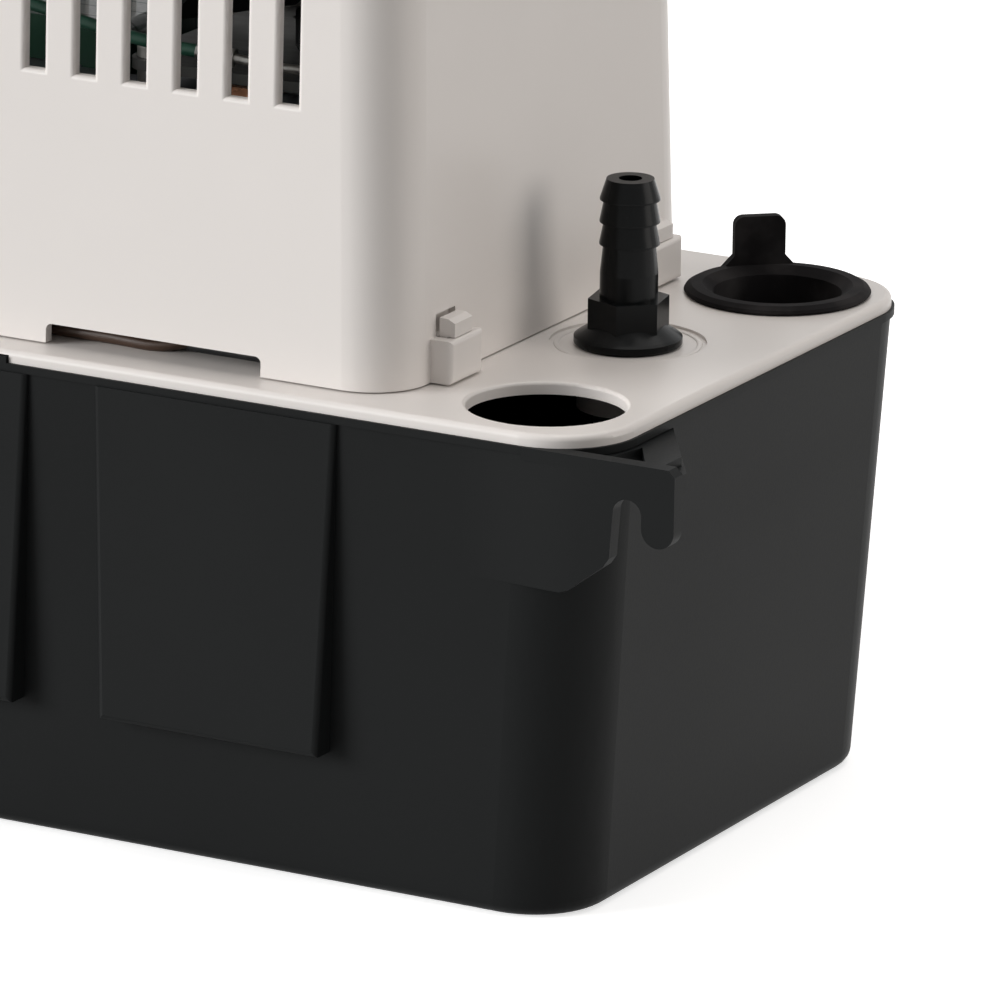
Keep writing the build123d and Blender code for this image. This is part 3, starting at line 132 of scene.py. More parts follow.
class Graph:
    """The node tree of one material, with short ways to add nodes."""

    def __init__(self, name: str) -> None:
        """Start an empty material.

        Args:
            name: The material's name.
        """
        self.material = bpy.data.materials.new(name)
        self.material.use_nodes = True
        self.tree = self.material.node_tree
        self.tree.nodes.clear()

    def add(self, kind: str, settings: dict[str, object], inputs: dict[int | str, object],
            output: int | str = 0) -> Value:
        """Add one node.

        Args:
            kind: Blender's node type.
            settings: Attributes that are set before the sockets.
            inputs: Socket name or number to a value, colour or link.
            output: The output socket to return.

        Returns:
            The chosen output.
        """
        node = self.tree.nodes.new(kind)
        for name, setting in settings.items():
            setattr(node, name, setting)
        for key, item in inputs.items():
            if isinstance(item, Value):
                self.tree.links.new(item.socket, node.inputs[key])
            else:
                node.inputs[key].default_value = item
        return Value(self, node.outputs[output])

    def position(self) -> Value:
        """The surface point in object coordinates, in metres."""
        return self.add("ShaderNodeTexCoord", {}, {}, "Object")

    def axis(self, name: str) -> Value:
        """One coordinate of the surface point.

        Args:
            name: X, Y or Z.

        Returns:
            That coordinate, in metres.
        """
        return self.add("ShaderNodeSeparateXYZ", {}, {0: self.position()}, name)

    def stretched(self, scale: tuple[float, float, float]) -> Value:
        """The surface point with each axis scaled.

        Args:
            scale: The three factors.

        Returns:
            The scaled point.
        """
        settings = {"operation": "MULTIPLY"}
        return self.add("ShaderNodeVectorMath", settings, {0: self.position(), 1: scale})

    def noise(self, scale: float, detail: float = 2.0, at: Value | None = None) -> Value:
        """Fractal noise.

        Args:
            scale: Features to a metre.
            detail: Octaves.
            at: The point that it is read at, by default the surface point.

        Returns:
            The noise, about 0.5 on average.
        """
        point = at or self.position()
        return self.add("ShaderNodeTexNoise", {}, {"Vector": point, "Scale": scale, "Detail": detail}, "Fac")

    def cells(self, scale: float) -> Value:
        """Distance to the nearest of many scattered points.

        Args:
            scale: Cells to a metre.

        Returns:
            The distance, in cells.
        """
        return self.add("ShaderNodeTexVoronoi", {}, {"Vector": self.position(), "Scale": scale}, "Distance")

    def blend(self, amount: Value | float, first: Colour | Value, second: Colour | Value) -> Value:
        """Mix two colours.

        Args:
            amount: 0 for the first and 1 for the second.
            first: A colour or a colour socket.
            second: A colour or a colour socket.

        Returns:
            The mixed colour.
        """
        node = self.tree.nodes.new("ShaderNodeMix")
        node.data_type = "RGBA"
        for key, item in ((0, amount), (6, first), (7, second)):
            if isinstance(item, Value):
                self.tree.links.new(item.socket, node.inputs[key])
            elif isinstance(item, Colour):
                node.inputs[key].default_value = item.rgba()
            else:
                node.inputs[key].default_value = item
        return Value(self, node.outputs[2])

    def bump(self, height: Value, distance: float, over: Value | None = None) -> Value:
        """Turn a height into a normal.

        Args:
            height: Height, 0 to 1.
            distance: What a height of 1 measures, in metres.
            over: A normal that is already bent, by default the smooth surface's.

        Returns:
            The bent normal.
        """
        inputs: dict[int | str, object] = {"Height": height, "Distance": distance}
        if over is not None:
            inputs["Normal"] = over
        return self.add("ShaderNodeBump", {}, inputs)

    def fraction(self, value: Value) -> Value:
        """What a value has after its point, which repeats from 0 to 1."""
        return self.add("ShaderNodeMath", {"operation": "FRACT"}, {0: value})

    def finish(self, **sockets: object) -> bpy.types.Material:
        """Join everything to a Principled shader.

        Args:
            **sockets: Principled sockets, with underscores for spaces.

        Returns:
            The finished material.
        """
        inputs = {name.replace("_", " "): item for name, item in sockets.items()}
        shader = self.add("ShaderNodeBsdfPrincipled", {}, inputs, "BSDF")
        output = self.tree.nodes.new("ShaderNodeOutputMaterial")
        self.tree.links.new(shader.socket, output.inputs["Surface"])
        return self.material


@dataclass(frozen=True)
class Colour:
    """A linear colour."""

    red: float
    green: float
    blue: float

    def rgba(self) -> tuple[float, float, float, float]:
        """The colour with full alpha."""
        return self.red, self.green, self.blue, 1.0

    def scaled(self, factor: float) -> Colour:
        """The colour made lighter or darker."""
        return Colour(self.red * factor, self.green * factor, self.blue * factor)


# ---------------------------------------------------------------------------
# Finishes
# ---------------------------------------------------------------------------


@dataclass(frozen=True)
class Coat:
    """What every finish has in common."""

    name: str
    colour: Colour

    def make(self) -> bpy.types.Material:
        """Build the material.

        Returns:
            The finished material.
        """
        raise NotImplementedError


@dataclass(frozen=True)
class Moulded(Coat):
    """Injection-moulded plastic: faint flow clouds, a fine sparked grain and a satin surface."""

    roughness: float = 0.42
    specular: float = 0.5
    cloud: float = 0.05
    cloud_scale: float = 14.0
    flow_scale: float = 5.0
    flow_stretch: tuple[float, float, float] = (1.0, 1.0, 4.0)
    flow_gloss: float = 0.12
    grain_scale: float = 2600.0
    grain_depth: float = 6e-6
    grain_gloss: float = 0.08
    ripple_scale: float = 22.0
    ripple_depth: float = 2.5e-5
    dust: float = 0.0
    dust_colour: Colour = Colour(0.34, 0.33, 0.31)
    dust_scale: float = 900.0
    dust_patches: float = 160.0

    def dusted(self, graph: Graph, tone: Value) -> Value:
        """Scatter pale specks of dust in patches.

        Args:
            graph: The material's graph.
            tone: The clean colour.

        Returns:
            The dusted colour.
        """
        speck = 1 - graph.cells(self.dust_scale).ramp(low=0.02, high=0.09)
        patch = graph.noise(self.dust_patches, detail=1.0).ramp(low=0.62, high=0.7)
        fleck = patch * speck * self.dust
        return graph.blend(fleck, tone, self.dust_colour)

    def make(self) -> bpy.types.Material:
        """Build the material.

        Returns:
            The finished material.
        """
        graph = Graph(self.name)
        cloud = graph.noise(self.cloud_scale, detail=3.0).ramp(low=0.3, high=0.7)
        flow = graph.noise(self.flow_scale, detail=2.0, at=graph.stretched(self.flow_stretch))
        tone = graph.blend(cloud, self.colour.scaled(1 - self.cloud), self.colour.scaled(1 + self.cloud))
        grain = graph.noise(self.grain_scale, detail=2.0)
        ripple = graph.noise(self.ripple_scale, detail=1.0)
        normal = graph.bump(ripple, self.ripple_depth, graph.bump(grain, self.grain_depth))
        rough = self.roughness + (flow - 0.5) * self.flow_gloss + (grain - 0.5) * self.grain_gloss
        return graph.finish(Base_Color=self.dusted(graph, tone), Roughness=rough,
                            Specular_IOR_Level=self.specular, Normal=normal)


@dataclass(frozen=True)
class Rubber(Coat):
    """Moulded rubber: matte, with a powdery bloom in patches and a fine pebble."""

    roughness: float = 0.72
    specular: float = 0.35
    bloom: float = 0.35
    bloom_colour: Colour = Colour(0.075, 0.07, 0.07)
    bloom_scale: float = 90.0
    bloom_gloss: float = 0.1
    pebble_scale: float = 3200.0
    pebble_depth: float = 1.2e-5

    def make(self) -> bpy.types.Material:
        """Build the material.

        Returns:
            The finished material.
        """
        graph = Graph(self.name)
        patch = graph.noise(self.bloom_scale, detail=4.0).ramp(low=0.42, high=0.72)
        tone = graph.blend(patch * self.bloom, self.colour, self.bloom_colour)
        normal = graph.bump(graph.noise(self.pebble_scale, detail=2.0), self.pebble_depth)
        rough = self.roughness + patch * self.bloom_gloss
        return graph.finish(Base_Color=tone, Roughness=rough, Specular_IOR_Level=self.specular, Normal=normal)


@dataclass(frozen=True)
class Plated(Coat):
    """Zinc plate or turned steel: fine directional scratches and dull clouds."""

    roughness: float = 0.3
    along: tuple[float, float, float] = (12.0, 900.0, 900.0)
    scratch_gloss: float = 0.16
    scratch_depth: float = 4e-6
    cloud: float = 0.16
    cloud_scale: float = 120.0
    cloud_gloss: float = 0.14

    def make(self) -> bpy.types.Material:
        """Build the material.

        Returns:
            The finished material.
        """
        graph = Graph(self.name)
        scratch = graph.noise(1.0, detail=3.0, at=graph.stretched(self.along))
        cloud = graph.noise(self.cloud_scale, detail=3.0).ramp(low=0.35, high=0.7)
        tone = graph.blend(cloud, self.colour.scaled(1 - self.cloud), self.colour)
        rough = self.roughness + cloud * self.cloud_gloss + (scratch - 0.5) * self.scratch_gloss
        normal = graph.bump(scratch, self.scratch_depth)
        return graph.finish(Base_Color=tone, Metallic=1.0, Roughness=rough, Normal=normal)


@dataclass(frozen=True)
class Laminated(Coat):
    """Stacked electrical steel: one dark line for each sheet and a bluish oxide."""

    metallic: float = 0.7
    roughness: float = 0.46
    sheets_per_metre: float = 1540.0
    line_width: float = 0.22
    line_depth: float = 9e-5
    line_tone: float = 0.25
    rust: float = 0.5
    rust_colour: Colour = Colour(0.16, 0.08, 0.04)
    rust_scale: float = 260.0
    rust_gloss: float = 0.3

    def make(self) -> bpy.types.Material:
        """Build the material.

        Returns:
            The finished material.
        """
        graph = Graph(self.name)
        line = graph.fraction(graph.axis("Z") * self.sheets_per_metre).ramp(low=0.0, high=self.line_width)
        rust = graph.noise(self.rust_scale, detail=4.0).ramp(low=0.6, high=0.8)
        tone = graph.blend(line, self.colour.scaled(self.line_tone), self.colour)
        tone = graph.blend(rust * self.rust, tone, self.rust_colour)
        rough = self.roughness + rust * self.rust_gloss
        normal = graph.bump(line, self.line_depth)
        return graph.finish(Base_Color=tone, Metallic=self.metallic, Roughness=rough, Normal=normal)


@dataclass(frozen=True)
class Taped(Coat):
    """Varnished coil tape: overlapped turns with a woven face and a gloss of varnish."""

    roughness: float = 0.3
    varnish: float = 0.4
    turns_per_metre: float = 150.0
    lean: float = 0.12
    edge_width: float = 0.12
    edge_tone: float = 0.35
    edge_share: float = 0.8
    worn_scale: float = 70.0
    worn_tone: float = 1.35
    weave_scale: float = 2400.0
    weave_gloss: float = 0.12
    depth: float = 1.6e-4

    def make(self) -> bpy.types.Material:
        """Build the material.

        Returns:
            The finished material.
        """
        graph = Graph(self.name)
        turns = graph.axis("Y") * self.turns_per_metre + graph.axis("Z") * (self.turns_per_metre * self.lean)
        edge = graph.fraction(turns).ramp(low=0.0, high=self.edge_width)
        weave = graph.noise(self.weave_scale, detail=1.0)
        worn = graph.noise(self.worn_scale, detail=3.0).ramp(low=0.4, high=0.7)
        tone = graph.blend(edge, self.colour.scaled(self.edge_tone), self.colour)
        tone = graph.blend(worn, tone, self.colour.scaled(self.worn_tone))
        rough = self.roughness + weave * self.weave_gloss
        normal = graph.bump(edge * self.edge_share + weave * (1 - self.edge_share), self.depth)
        return graph.finish(Base_Color=tone, Roughness=rough, Coat_Weight=self.varnish, Normal=normal)


@dataclass(frozen=True)
class Foam(Coat):
    """Closed-cell float foam: a skin of tiny cells."""

    roughness: float = 0.6
    cell_scale: float = 1400.0
    cell_gloss: float = 0.2
    cell_depth: float = 8e-5
    stain: float = 0.4
    stain_scale: float = 30.0
    stain_tone: float = 0.7

    def make(self) -> bpy.types.Material:
        """Build the material.

        Returns:
            The finished material.
        """
        graph = Graph(self.name)
        cell = graph.cells(self.cell_scale)
        stain = graph.noise(self.stain_scale, detail=4.0).ramp(low=0.4, high=0.75)
        tone = graph.blend(stain * self.stain, self.colour, self.colour.scaled(self.stain_tone))
        rough = self.roughness + cell * self.cell_gloss
        return graph.finish(Base_Color=tone, Roughness=rough, Normal=graph.bump(cell, self.cell_depth))


WARM_WHITE = Colour(0.775, 0.735, 0.705)
CHARCOAL = Colour(0.0112, 0.0120, 0.0122)


class Finish(Enum):
    """Every finish of the pump, by what it is."""

    TANK = Moulded("tank_plastic", CHARCOAL, roughness=0.46, cloud=0.10, specular=0.06, dust=0.05,
                   grain_depth=1.4e-5, grain_scale=1900.0, ripple_depth=5e-5)
    WHITE = Moulded("white_plastic", WARM_WHITE, roughness=0.36, cloud=0.015, specular=0.42, grain_depth=3e-6,
                    ripple_depth=3e-5)
    GLOSS_BLACK = Moulded("black_plastic", Colour(0.0048, 0.0054, 0.0056), roughness=0.24, cloud=0.08,
                          specular=0.10, dust=0.08, grain_depth=4e-6)
    GREY = Moulded("grey_plastic", Colour(0.05, 0.05, 0.053), roughness=0.48)
    FAN = Moulded("fan_plastic", Colour(0.014, 0.0145, 0.015), roughness=0.44, specular=0.2)
    BOBBIN = Moulded("bobbin_plastic", Colour(0.016, 0.075, 0.042), roughness=0.4)
    PLUG = Rubber("plug_rubber", Colour(0.0078, 0.0070, 0.0074), specular=0.06)
    BALL = Rubber("ball_rubber", Colour(0.05, 0.05, 0.05), roughness=0.5)
    TUBE = Moulded("soft_tube", Colour(0.045, 0.047, 0.05), roughness=0.5)
    ZINC = Plated("zinc_steel", Colour(0.63, 0.62, 0.59))
    SHAFT = Plated("shaft_steel", Colour(0.68, 0.68, 0.68), roughness=0.18, along=(700.0, 700.0, 20.0))
    BRONZE = Plated("sintered_bronze", Colour(0.42, 0.27, 0.13), roughness=0.5, along=(300.0, 300.0, 300.0))
    COPPER = Plated("copper_strap", Colour(0.72, 0.33, 0.18), roughness=0.26)
    CAST = Plated("rotor_cast", Colour(0.60, 0.61, 0.62), roughness=0.45, along=(260.0, 260.0, 260.0))
    STACK = Laminated("lamination_steel", Colour(0.20, 0.21, 0.23))
    WRAP = Taped("coil_wrap", Colour(0.008, 0.042, 0.024))
    FOAM = Foam("float_foam", Colour(0.62, 0.60, 0.55))
    BRACKET = Plated("bracket_steel", Colour(0.13, 0.13, 0.125), roughness=0.5)
    GREEN_LEAD = Moulded("green_lead", Colour(0.035, 0.13, 0.085), roughness=0.4)
    BROWN_LEAD = Moulded("brown_lead", Colour(0.060, 0.032, 0.020), roughness=0.42)
    BLACK_LEAD = Moulded("black_lead", Colour(0.018, 0.018, 0.019), roughness=0.42)


NODE_FINISH: dict[str, Finish] = {
    "tank": Finish.TANK,
    "deck_plate": Finish.WHITE,
    "motor_cover": Finish.WHITE,
    "check_valve_body": Finish.GLOSS_BLACK,
    "check_valve_seat": Finish.GLOSS_BLACK,
    "check_valve_ball": Finish.BALL,
    "inlet_plug_rear_right": Finish.PLUG,
    "inlet_plug_front_left": Finish.PLUG,
    "inlet_plug_rear_left": Finish.PLUG,
    "stator_stack": Finish.STACK,
    "shading_rings": Finish.COPPER,
    "coil_bobbin": Finish.BOBBIN,
    "coil_winding": Finish.WRAP,
    "lower_bearing_bracket": Finish.BRACKET,
    "upper_bearing_bracket": Finish.BRACKET,
    "lower_bearing": Finish.BRONZE,
    "upper_bearing": Finish.BRONZE,
    "through_bolts": Finish.ZINC,
    "bolt_nuts": Finish.ZINC,
    "bracket_spacers": Finish.ZINC,
    "motor_grommets": Finish.PLUG,
    "motor_screws": Finish.ZINC,
    "rotor_core": Finish.STACK,
    "rotor_end_rings": Finish.CAST,
    "motor_shaft": Finish.SHAFT,
    "cooling_fan": Finish.FAN,
    "shaft_slinger": Finish.PLUG,
    "pump_housing": Finish.GREY,
    "intake_plate": Finish.GREY,
    "impeller": Finish.GREY,
    "discharge_tube": Finish.TUBE,
    "housing_screws": Finish.ZINC,
    "intake_screws": Finish.ZINC,
    "float": Finish.FOAM,
    "float_rod": Finish.SHAFT,
    "rod_collars": Finish.GLOSS_BLACK,
    "switch_bracket": Finish.GREY,
    "pump_switch": Finish.GLOSS_BLACK,
    "safety_switch": Finish.GLOSS_BLACK,
    "pump_switch_plunger": Finish.FOAM,
    "safety_switch_plunger": Finish.FOAM,
    "switch_lever": Finish.ZINC,
    "lever_pin": Finish.SHAFT,
    "switch_screws": Finish.ZINC,
    "bracket_screws": Finish.ZINC,
}


@dataclass
class Paintshop:
    """Makes each finish once and dresses nodes and pieces with it."""

    made: dict[Finish, bpy.types.Material] = field(default_factory=dict)

    def material(self, finish: Finish) -> bpy.types.Material:
        """The material of a finish.

        Args:
            finish: Which finish.

        Returns:
            Its material, made on first use.
        """
        if finish not in self.made:
            self.made[finish] = finish.value.make()
        return self.made[finish]

    def dress(self, piece: bpy.types.Object, finish: Finish) -> None:
        """Give a piece one finish all over.

        Args:
            piece: The object.
            finish: Its finish.
        """
        piece.data.materials.clear()
        piece.data.materials.append(self.material(finish))

    def dress_nodes(self, nodes: dict[str, bpy.types.Object]) -> None:
        """Give every CAD node its finish.

        Args:
            nodes: Node name to object.
        """
        for name, node in nodes.items():
            slots = node.data.materials
            material = self.material(NODE_FINISH[name])
            if len(slots):
                for index in range(len(slots)):
                    slots[index] = material
            else:
                slots.append(material)
            LOG.info("dressed %s", name)


# ---------------------------------------------------------------------------
# Pieces that only show
# ---------------------------------------------------------------------------


Point = tuple[float, float, float]
UPWARDS = Vector((0.0, 0.0, 1.0))


@dataclass(frozen=True)
class Piece:
    """What every piece that only shows has in common."""

    name: str
    finish: Finish
    slot: str

    def fill(self, shape: bmesh.types.BMesh) -> None:
        """Add the piece's faces, in millimetres.

        Args:
            shape: The empty mesh to fill.
        """
        raise NotImplementedError

    def make(self, paint: Paintshop) -> None:
        """Build the piece on the housing and dress it.

        Args:
            paint: Where its material comes from.
        """
        shape = bmesh.new()
        self.fill(shape)
        bmesh.ops.recalc_face_normals(shape, faces=shape.faces)
        bmesh.ops.scale(shape, vec=(MM, MM, MM), verts=shape.verts)
        mesh = bpy.data.meshes.new(self.name)
        shape.to_mesh(mesh)
        shape.free()
        mesh.shade_smooth()
        mesh.set_sharp_from_angle(angle=SHARP_ABOVE)
        piece = bpy.data.objects.new(self.name, mesh)
        bpy.context.scene.collection.objects.link(piece)
        paint.dress(piece, self.finish)
        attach(piece, "housing")
        LOG.info("made %s, %d faces", self.name, len(mesh.polygons))


@dataclass(frozen=True)
class Lead(Piece):
    """Round lead or sleeve swept along a smooth path."""

    path: tuple[Point, ...]
    radius: float = 1.1
    sides: int = 12
    steps: int = 10

    def curve(self) -> list[Vector]:
        """The path, rounded through its points.

        Returns:
            Closely spaced points.
        """
        knots = [Vector(point) for point in self.path]
        if len(knots) == 2:
            return knots
        ends = [2 * knots[0] - knots[1], *knots, 2 * knots[-1] - knots[-2]]
        points = []
        for before, start, stop, after in zip(ends, ends[1:], ends[2:], ends[3:]):
            for step in range(self.steps):
                t = step / self.steps
                slope = 0.5 * t * (stop - before)
                bend = 0.5 * t * t * (2 * before - 5 * start + 4 * stop - after)
                twist = 0.5 * t ** 3 * (3 * start - before - 3 * stop + after)
                points.append(start + slope + bend + twist)
        return [*points, knots[-1]]

    def fill(self, shape: bmesh.types.BMesh) -> None:
        """Sweep a circle along the path and close both ends.

        Args:
            shape: The empty mesh to fill.
        """
        points = self.curve()
        heading = (points[1] - points[0]).normalized()
        place = Matrix.Translation(points[0]) @ UPWARDS.rotation_difference(heading).to_matrix().to_4x4()
        bmesh.ops.create_circle(shape, segments=self.sides, radius=self.radius, cap_ends=True, matrix=place)
        ring = list(shape.edges)
        for index, point in enumerate(points[1:], start=1):
            swept = bmesh.ops.extrude_edge_only(shape, edges=ring)["geom"]
            rim = [part for part in swept if isinstance(part, bmesh.types.BMVert)]
            grown = [part for part in swept if isinstance(part, bmesh.types.BMEdge)]
            ring = [edge for edge in grown if all(vert in rim for vert in edge.verts)]
            bmesh.ops.translate(shape, verts=rim, vec=point - points[index - 1])
            onward = points[min(index + 1, len(points) - 1)] - points[index - 1]
            turn = heading.rotation_difference(onward).to_matrix()
            bmesh.ops.rotate(shape, verts=rim, cent=point, matrix=turn)
            heading = onward.normalized()
        bmesh.ops.contextual_create(shape, geom=ring)


@dataclass(frozen=True)
class Turning(Piece):
    """Profile of radius and height turned round an upright axis."""

    centre: tuple[float, float]
    profile: tuple[tuple[float, float], ...]
    sides: int = 96

    def fill(self, shape: bmesh.types.BMesh) -> None:
        """Turn the closed profile once round.

        Args:
            shape: The empty mesh to fill.
        """
        x, y = self.centre
        verts = [shape.verts.new((x + radius, y, height)) for radius, height in self.profile]
        edges = [shape.edges.new(pair) for pair in zip(verts, verts[1:] + verts[:1])]
        bmesh.ops.spin(shape, geom=verts + edges, cent=(x, y, 0.0), axis=UPWARDS, dvec=(0.0, 0.0, 0.0),
                       angle=math.tau, steps=self.sides, use_merge=True, use_duplicate=False)


@dataclass(frozen=True)
class EarBlend(Piece):
    """Shallow blend that fades a hanging ear's front face into the tank's wall."""

    side: int
    edge: float
    front: float
    top: float
    run: float = 23.0
    drop: float = 25.2
    bead: float = 1.4
    overlap: float = 3.0
    corner: float = 5.4
    corner_slope: float = 0.76
    wall_behind: float = 0.6
    draft: float = math.radians(1.5)
    thickness: float = 1.6
    columns: int = 14

    def wall(self, height: float) -> float:
        """Y of the tank's drafted front wall at a height."""
        return self.front + self.wall_behind + (self.top - height) * math.tan(self.draft)

    def fill(self, shape: bmesh.types.BMesh) -> None:
        """Lay a strip one long, bend it from the ear's face to the wall and thicken it backwards.

        Args:
            shape: The empty mesh to fill.
        """
        bmesh.ops.create_grid(shape, x_segments=self.columns, y_segments=1, size=0.5)
        for vert in shape.verts:
            share = vert.co.x + 0.5
            x = self.edge - self.overlap - share * self.run
            fade = share * share * (3 - 2 * share)
            foot = self.top - self.drop + max(0.0, x - (self.edge - self.corner)) * self.corner_slope
            height = foot if vert.co.y < 0 else self.top - self.bead
            vert.co = (self.side * x, self.front + fade * (self.wall(height) - self.front), height)
        grown = bmesh.ops.extrude_face_region(shape, geom=list(shape.faces))["geom"]
        for vert in grown:
            if isinstance(vert, bmesh.types.BMVert):
                vert.co.y = self.front + self.thickness


@dataclass(frozen=True)
class Box:
    """A CAD node's box at rest, in millimetres."""

    low: Vector
    high: Vector

    @classmethod
    def of(cls, node: str) -> Box:
        """Read the box of a node.

        Args:
            node: The node's name.

        Returns:
            Its box.
        """
        low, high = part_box(node)
        return cls(low / MM, high / MM)

    @property
    def centre(self) -> Vector:
        """Middle of the box."""
        return (self.low + self.high) / 2


@dataclass(frozen=True)
class Dressing:
    """What every group of pieces that only show has in common."""

    def pieces(self) -> list[Piece]:
        """Lay out the group's pieces.

        Returns:
            The pieces, in the order that they are built.
        """
        raise NotImplementedError

    def make(self, paint: Paintshop) -> None:
        """Build every piece of the group."""
        for piece in self.pieces():
            piece.make(paint)


@dataclass(frozen=True)
class Mouldings(Dressing):
    """The ears' fades into the tank's wall and the fine bead round the valve's recess."""

    bead_radius: float = 12.9
    bead_height: float = 0.28
    shoulder: float = 0.16
    shoulder_reach: float = 0.4
    foot_depth: float = 0.1
    foot_reach: float = 0.6

    def bead(self) -> Piece:
        """The ring in the recess's floor.

        Returns:
            The ring.
        """
        valve, floor = Box.of("check_valve_body").centre, DECK_TOP - RECESS_DEPTH
        inner = ((-self.foot_reach, -self.foot_depth), (-self.shoulder_reach, self.shoulder))
        outer = ((self.shoulder_reach, self.shoulder), (self.foot_reach, -self.foot_depth))
        steps = (*inner, (0.0, self.bead_height), *outer)
        profile = tuple((self.bead_radius + across, floor + up) for across, up in steps)
        return Turning("recess_ring", Finish.WHITE, "white_plastic", (valve.x, valve.y), profile)

    def pieces(self) -> list[Piece]:
        """Lay out the blends and the ring.

        Returns:
            The pieces.
        """
        edge = Box.of("deck_plate").high.x
        sides = (("right", 1), ("left", -1))
        blends = [EarBlend(f"ear_blend_{name}", Finish.TANK, "tank_plastic", side, edge, EAR_FRONT, TANK_RIM)
                  for name, side in sides]
        return [*blends, self.bead()]


@dataclass(frozen=True)
class SwitchLeads(Dressing):
    """A black and a brown lead from each switch to the coil, with a push-on sleeve on each blade."""

    blades: tuple[float, float] = (5.4, 21.4)
    finishes: tuple[Finish, Finish] = (Finish.BLACK_LEAD, Finish.BROWN_LEAD)
    sleeve_below: float = 4.6
    sleeve_above: float = 4.0
    sleeve_radius: float = 1.9
    coil_gap: float = 3.0
    fan_out: float = 0.5
    fan_down: float = 0.3

    def blade(self, node: str, side: float, place: float, finish: Finish) -> list[Piece]:
        """Sleeve and lead of one blade.

        Args:
            node: The switch.
            side: -1.0 for the front switch and 1.0 for the rear one.
            place: How far the blade is from the switch's left end.
            finish: The lead's colour.

        Returns:
            The two pieces.
        """
        switch, coil = Box.of(node), Box.of("coil_winding")
        y, head, x = switch.centre.y, switch.high.z, switch.low.x + place
        top = (x, y, head + self.sleeve_above)
        sleeve = ((x, y, head - self.sleeve_below), top)
        reach = coil.low.x - self.coil_gap - place * self.fan_out
        route = (
            top,
            (x + 2.0, y, head + 9.0),
            (x + 14.0, y + side * 3.0, head + 15.0),
            (reach - 8.0, side * 15.0, head + 4.0),
            (reach + 2.0, side * 12.0, coil.high.z - 9.0),
            (coil.low.x - 0.4, side * 11.0, coil.high.z - 14.0 - place * self.fan_down),
        )
        label = f"{node}_{int(place)}"
        return [Lead(f"sleeve_{label}", Finish.BLACK_LEAD, "plug_rubber", sleeve, self.sleeve_radius),
                Lead(f"lead_{label}", finish, "plug_rubber", route)]

    def pieces(self) -> list[Piece]:
        """Lay out both switches' leads.

        Returns:
            The pieces.
        """
        made: list[Piece] = []
        for node, side in (("pump_switch", -1.0), ("safety_switch", 1.0)):
            for place, finish in zip(self.blades, self.finishes):
                made += self.blade(node, side, place, finish)
        return made


@dataclass(frozen=True)
class FuseLeads(Dressing):
    """A brown and a black lead along the deck, inside the cover's front wall, to the motor's thermal fuse."""

    radius: float = 1.3
    lift: float = 1.35
    wall_gap: float = 6.4
    pitch: float = 3.0
    coil_inset: float = 9.0
    coil_rise: float = 2.0
    coil_y: float = -18.5
    fuse_gap: float = 2.4
    fuse_ends: tuple[float, float] = (63.0, 79.0)
    fuse_radius: float = 2.3
    tuck: float = 2.0

    def pieces(self) -> list[Piece]:
        """Lay out the two leads and the fuse.

        Returns:
            The pieces.
        """
        coil, stack = Box.of("coil_winding"), Box.of("stator_stack")
        left, right = self.fuse_ends
        front = Box.of("motor_cover").low.y + self.wall_gap
        behind = front + self.pitch
        level = DECK_TOP + self.lift
        fuse_y, fuse_z = stack.low.y - self.fuse_gap, stack.centre.z
        x, z = coil.low.x + self.coil_inset, coil.low.z + self.coil_rise
        brown = (
            (x, self.coil_y, z),
            (coil.low.x + 9.5, front + 13.0, level + 5.0),
            (coil.low.x + 14.0, front + 2.0, level),
            (coil.low.x + 26.0, front, level),
            (33.0, front, level),
            (45.0, front + 0.8, level),
            (52.0, front + 6.0, level + 4.0),
            (57.0, fuse_y - 3.0, fuse_z - 9.0),
            (60.0, fuse_y, fuse_z - 1.5),
            (left + self.tuck, fuse_y, fuse_z),
        )
        black = (
            (x - 4.0, self.coil_y, z),
            (x - 3.0, behind + 10.0, level + 5.0),
            (x + 2.0, behind + 1.0, level),
            (x + 14.0, behind, level),
            (68.0, behind, level),
            (80.0, behind + 0.5, level),
            (88.0, behind + 6.0, level + 8.0),
            (88.0, fuse_y - 2.0, fuse_z - 6.0),
            (84.0, fuse_y, fuse_z - 0.5),
            (right - self.tuck, fuse_y, fuse_z),
        )
        fuse = ((left, fuse_y, fuse_z), (right, fuse_y, fuse_z))
        return [Lead("deck_brown_lead", Finish.BROWN_LEAD, "plug_rubber", brown, self.radius),
                Lead("deck_black_lead", Finish.BLACK_LEAD, "plug_rubber", black, self.radius),
                Lead("fuse_sleeve", Finish.BLACK_LEAD, "plug_rubber", fuse, self.fuse_radius)]


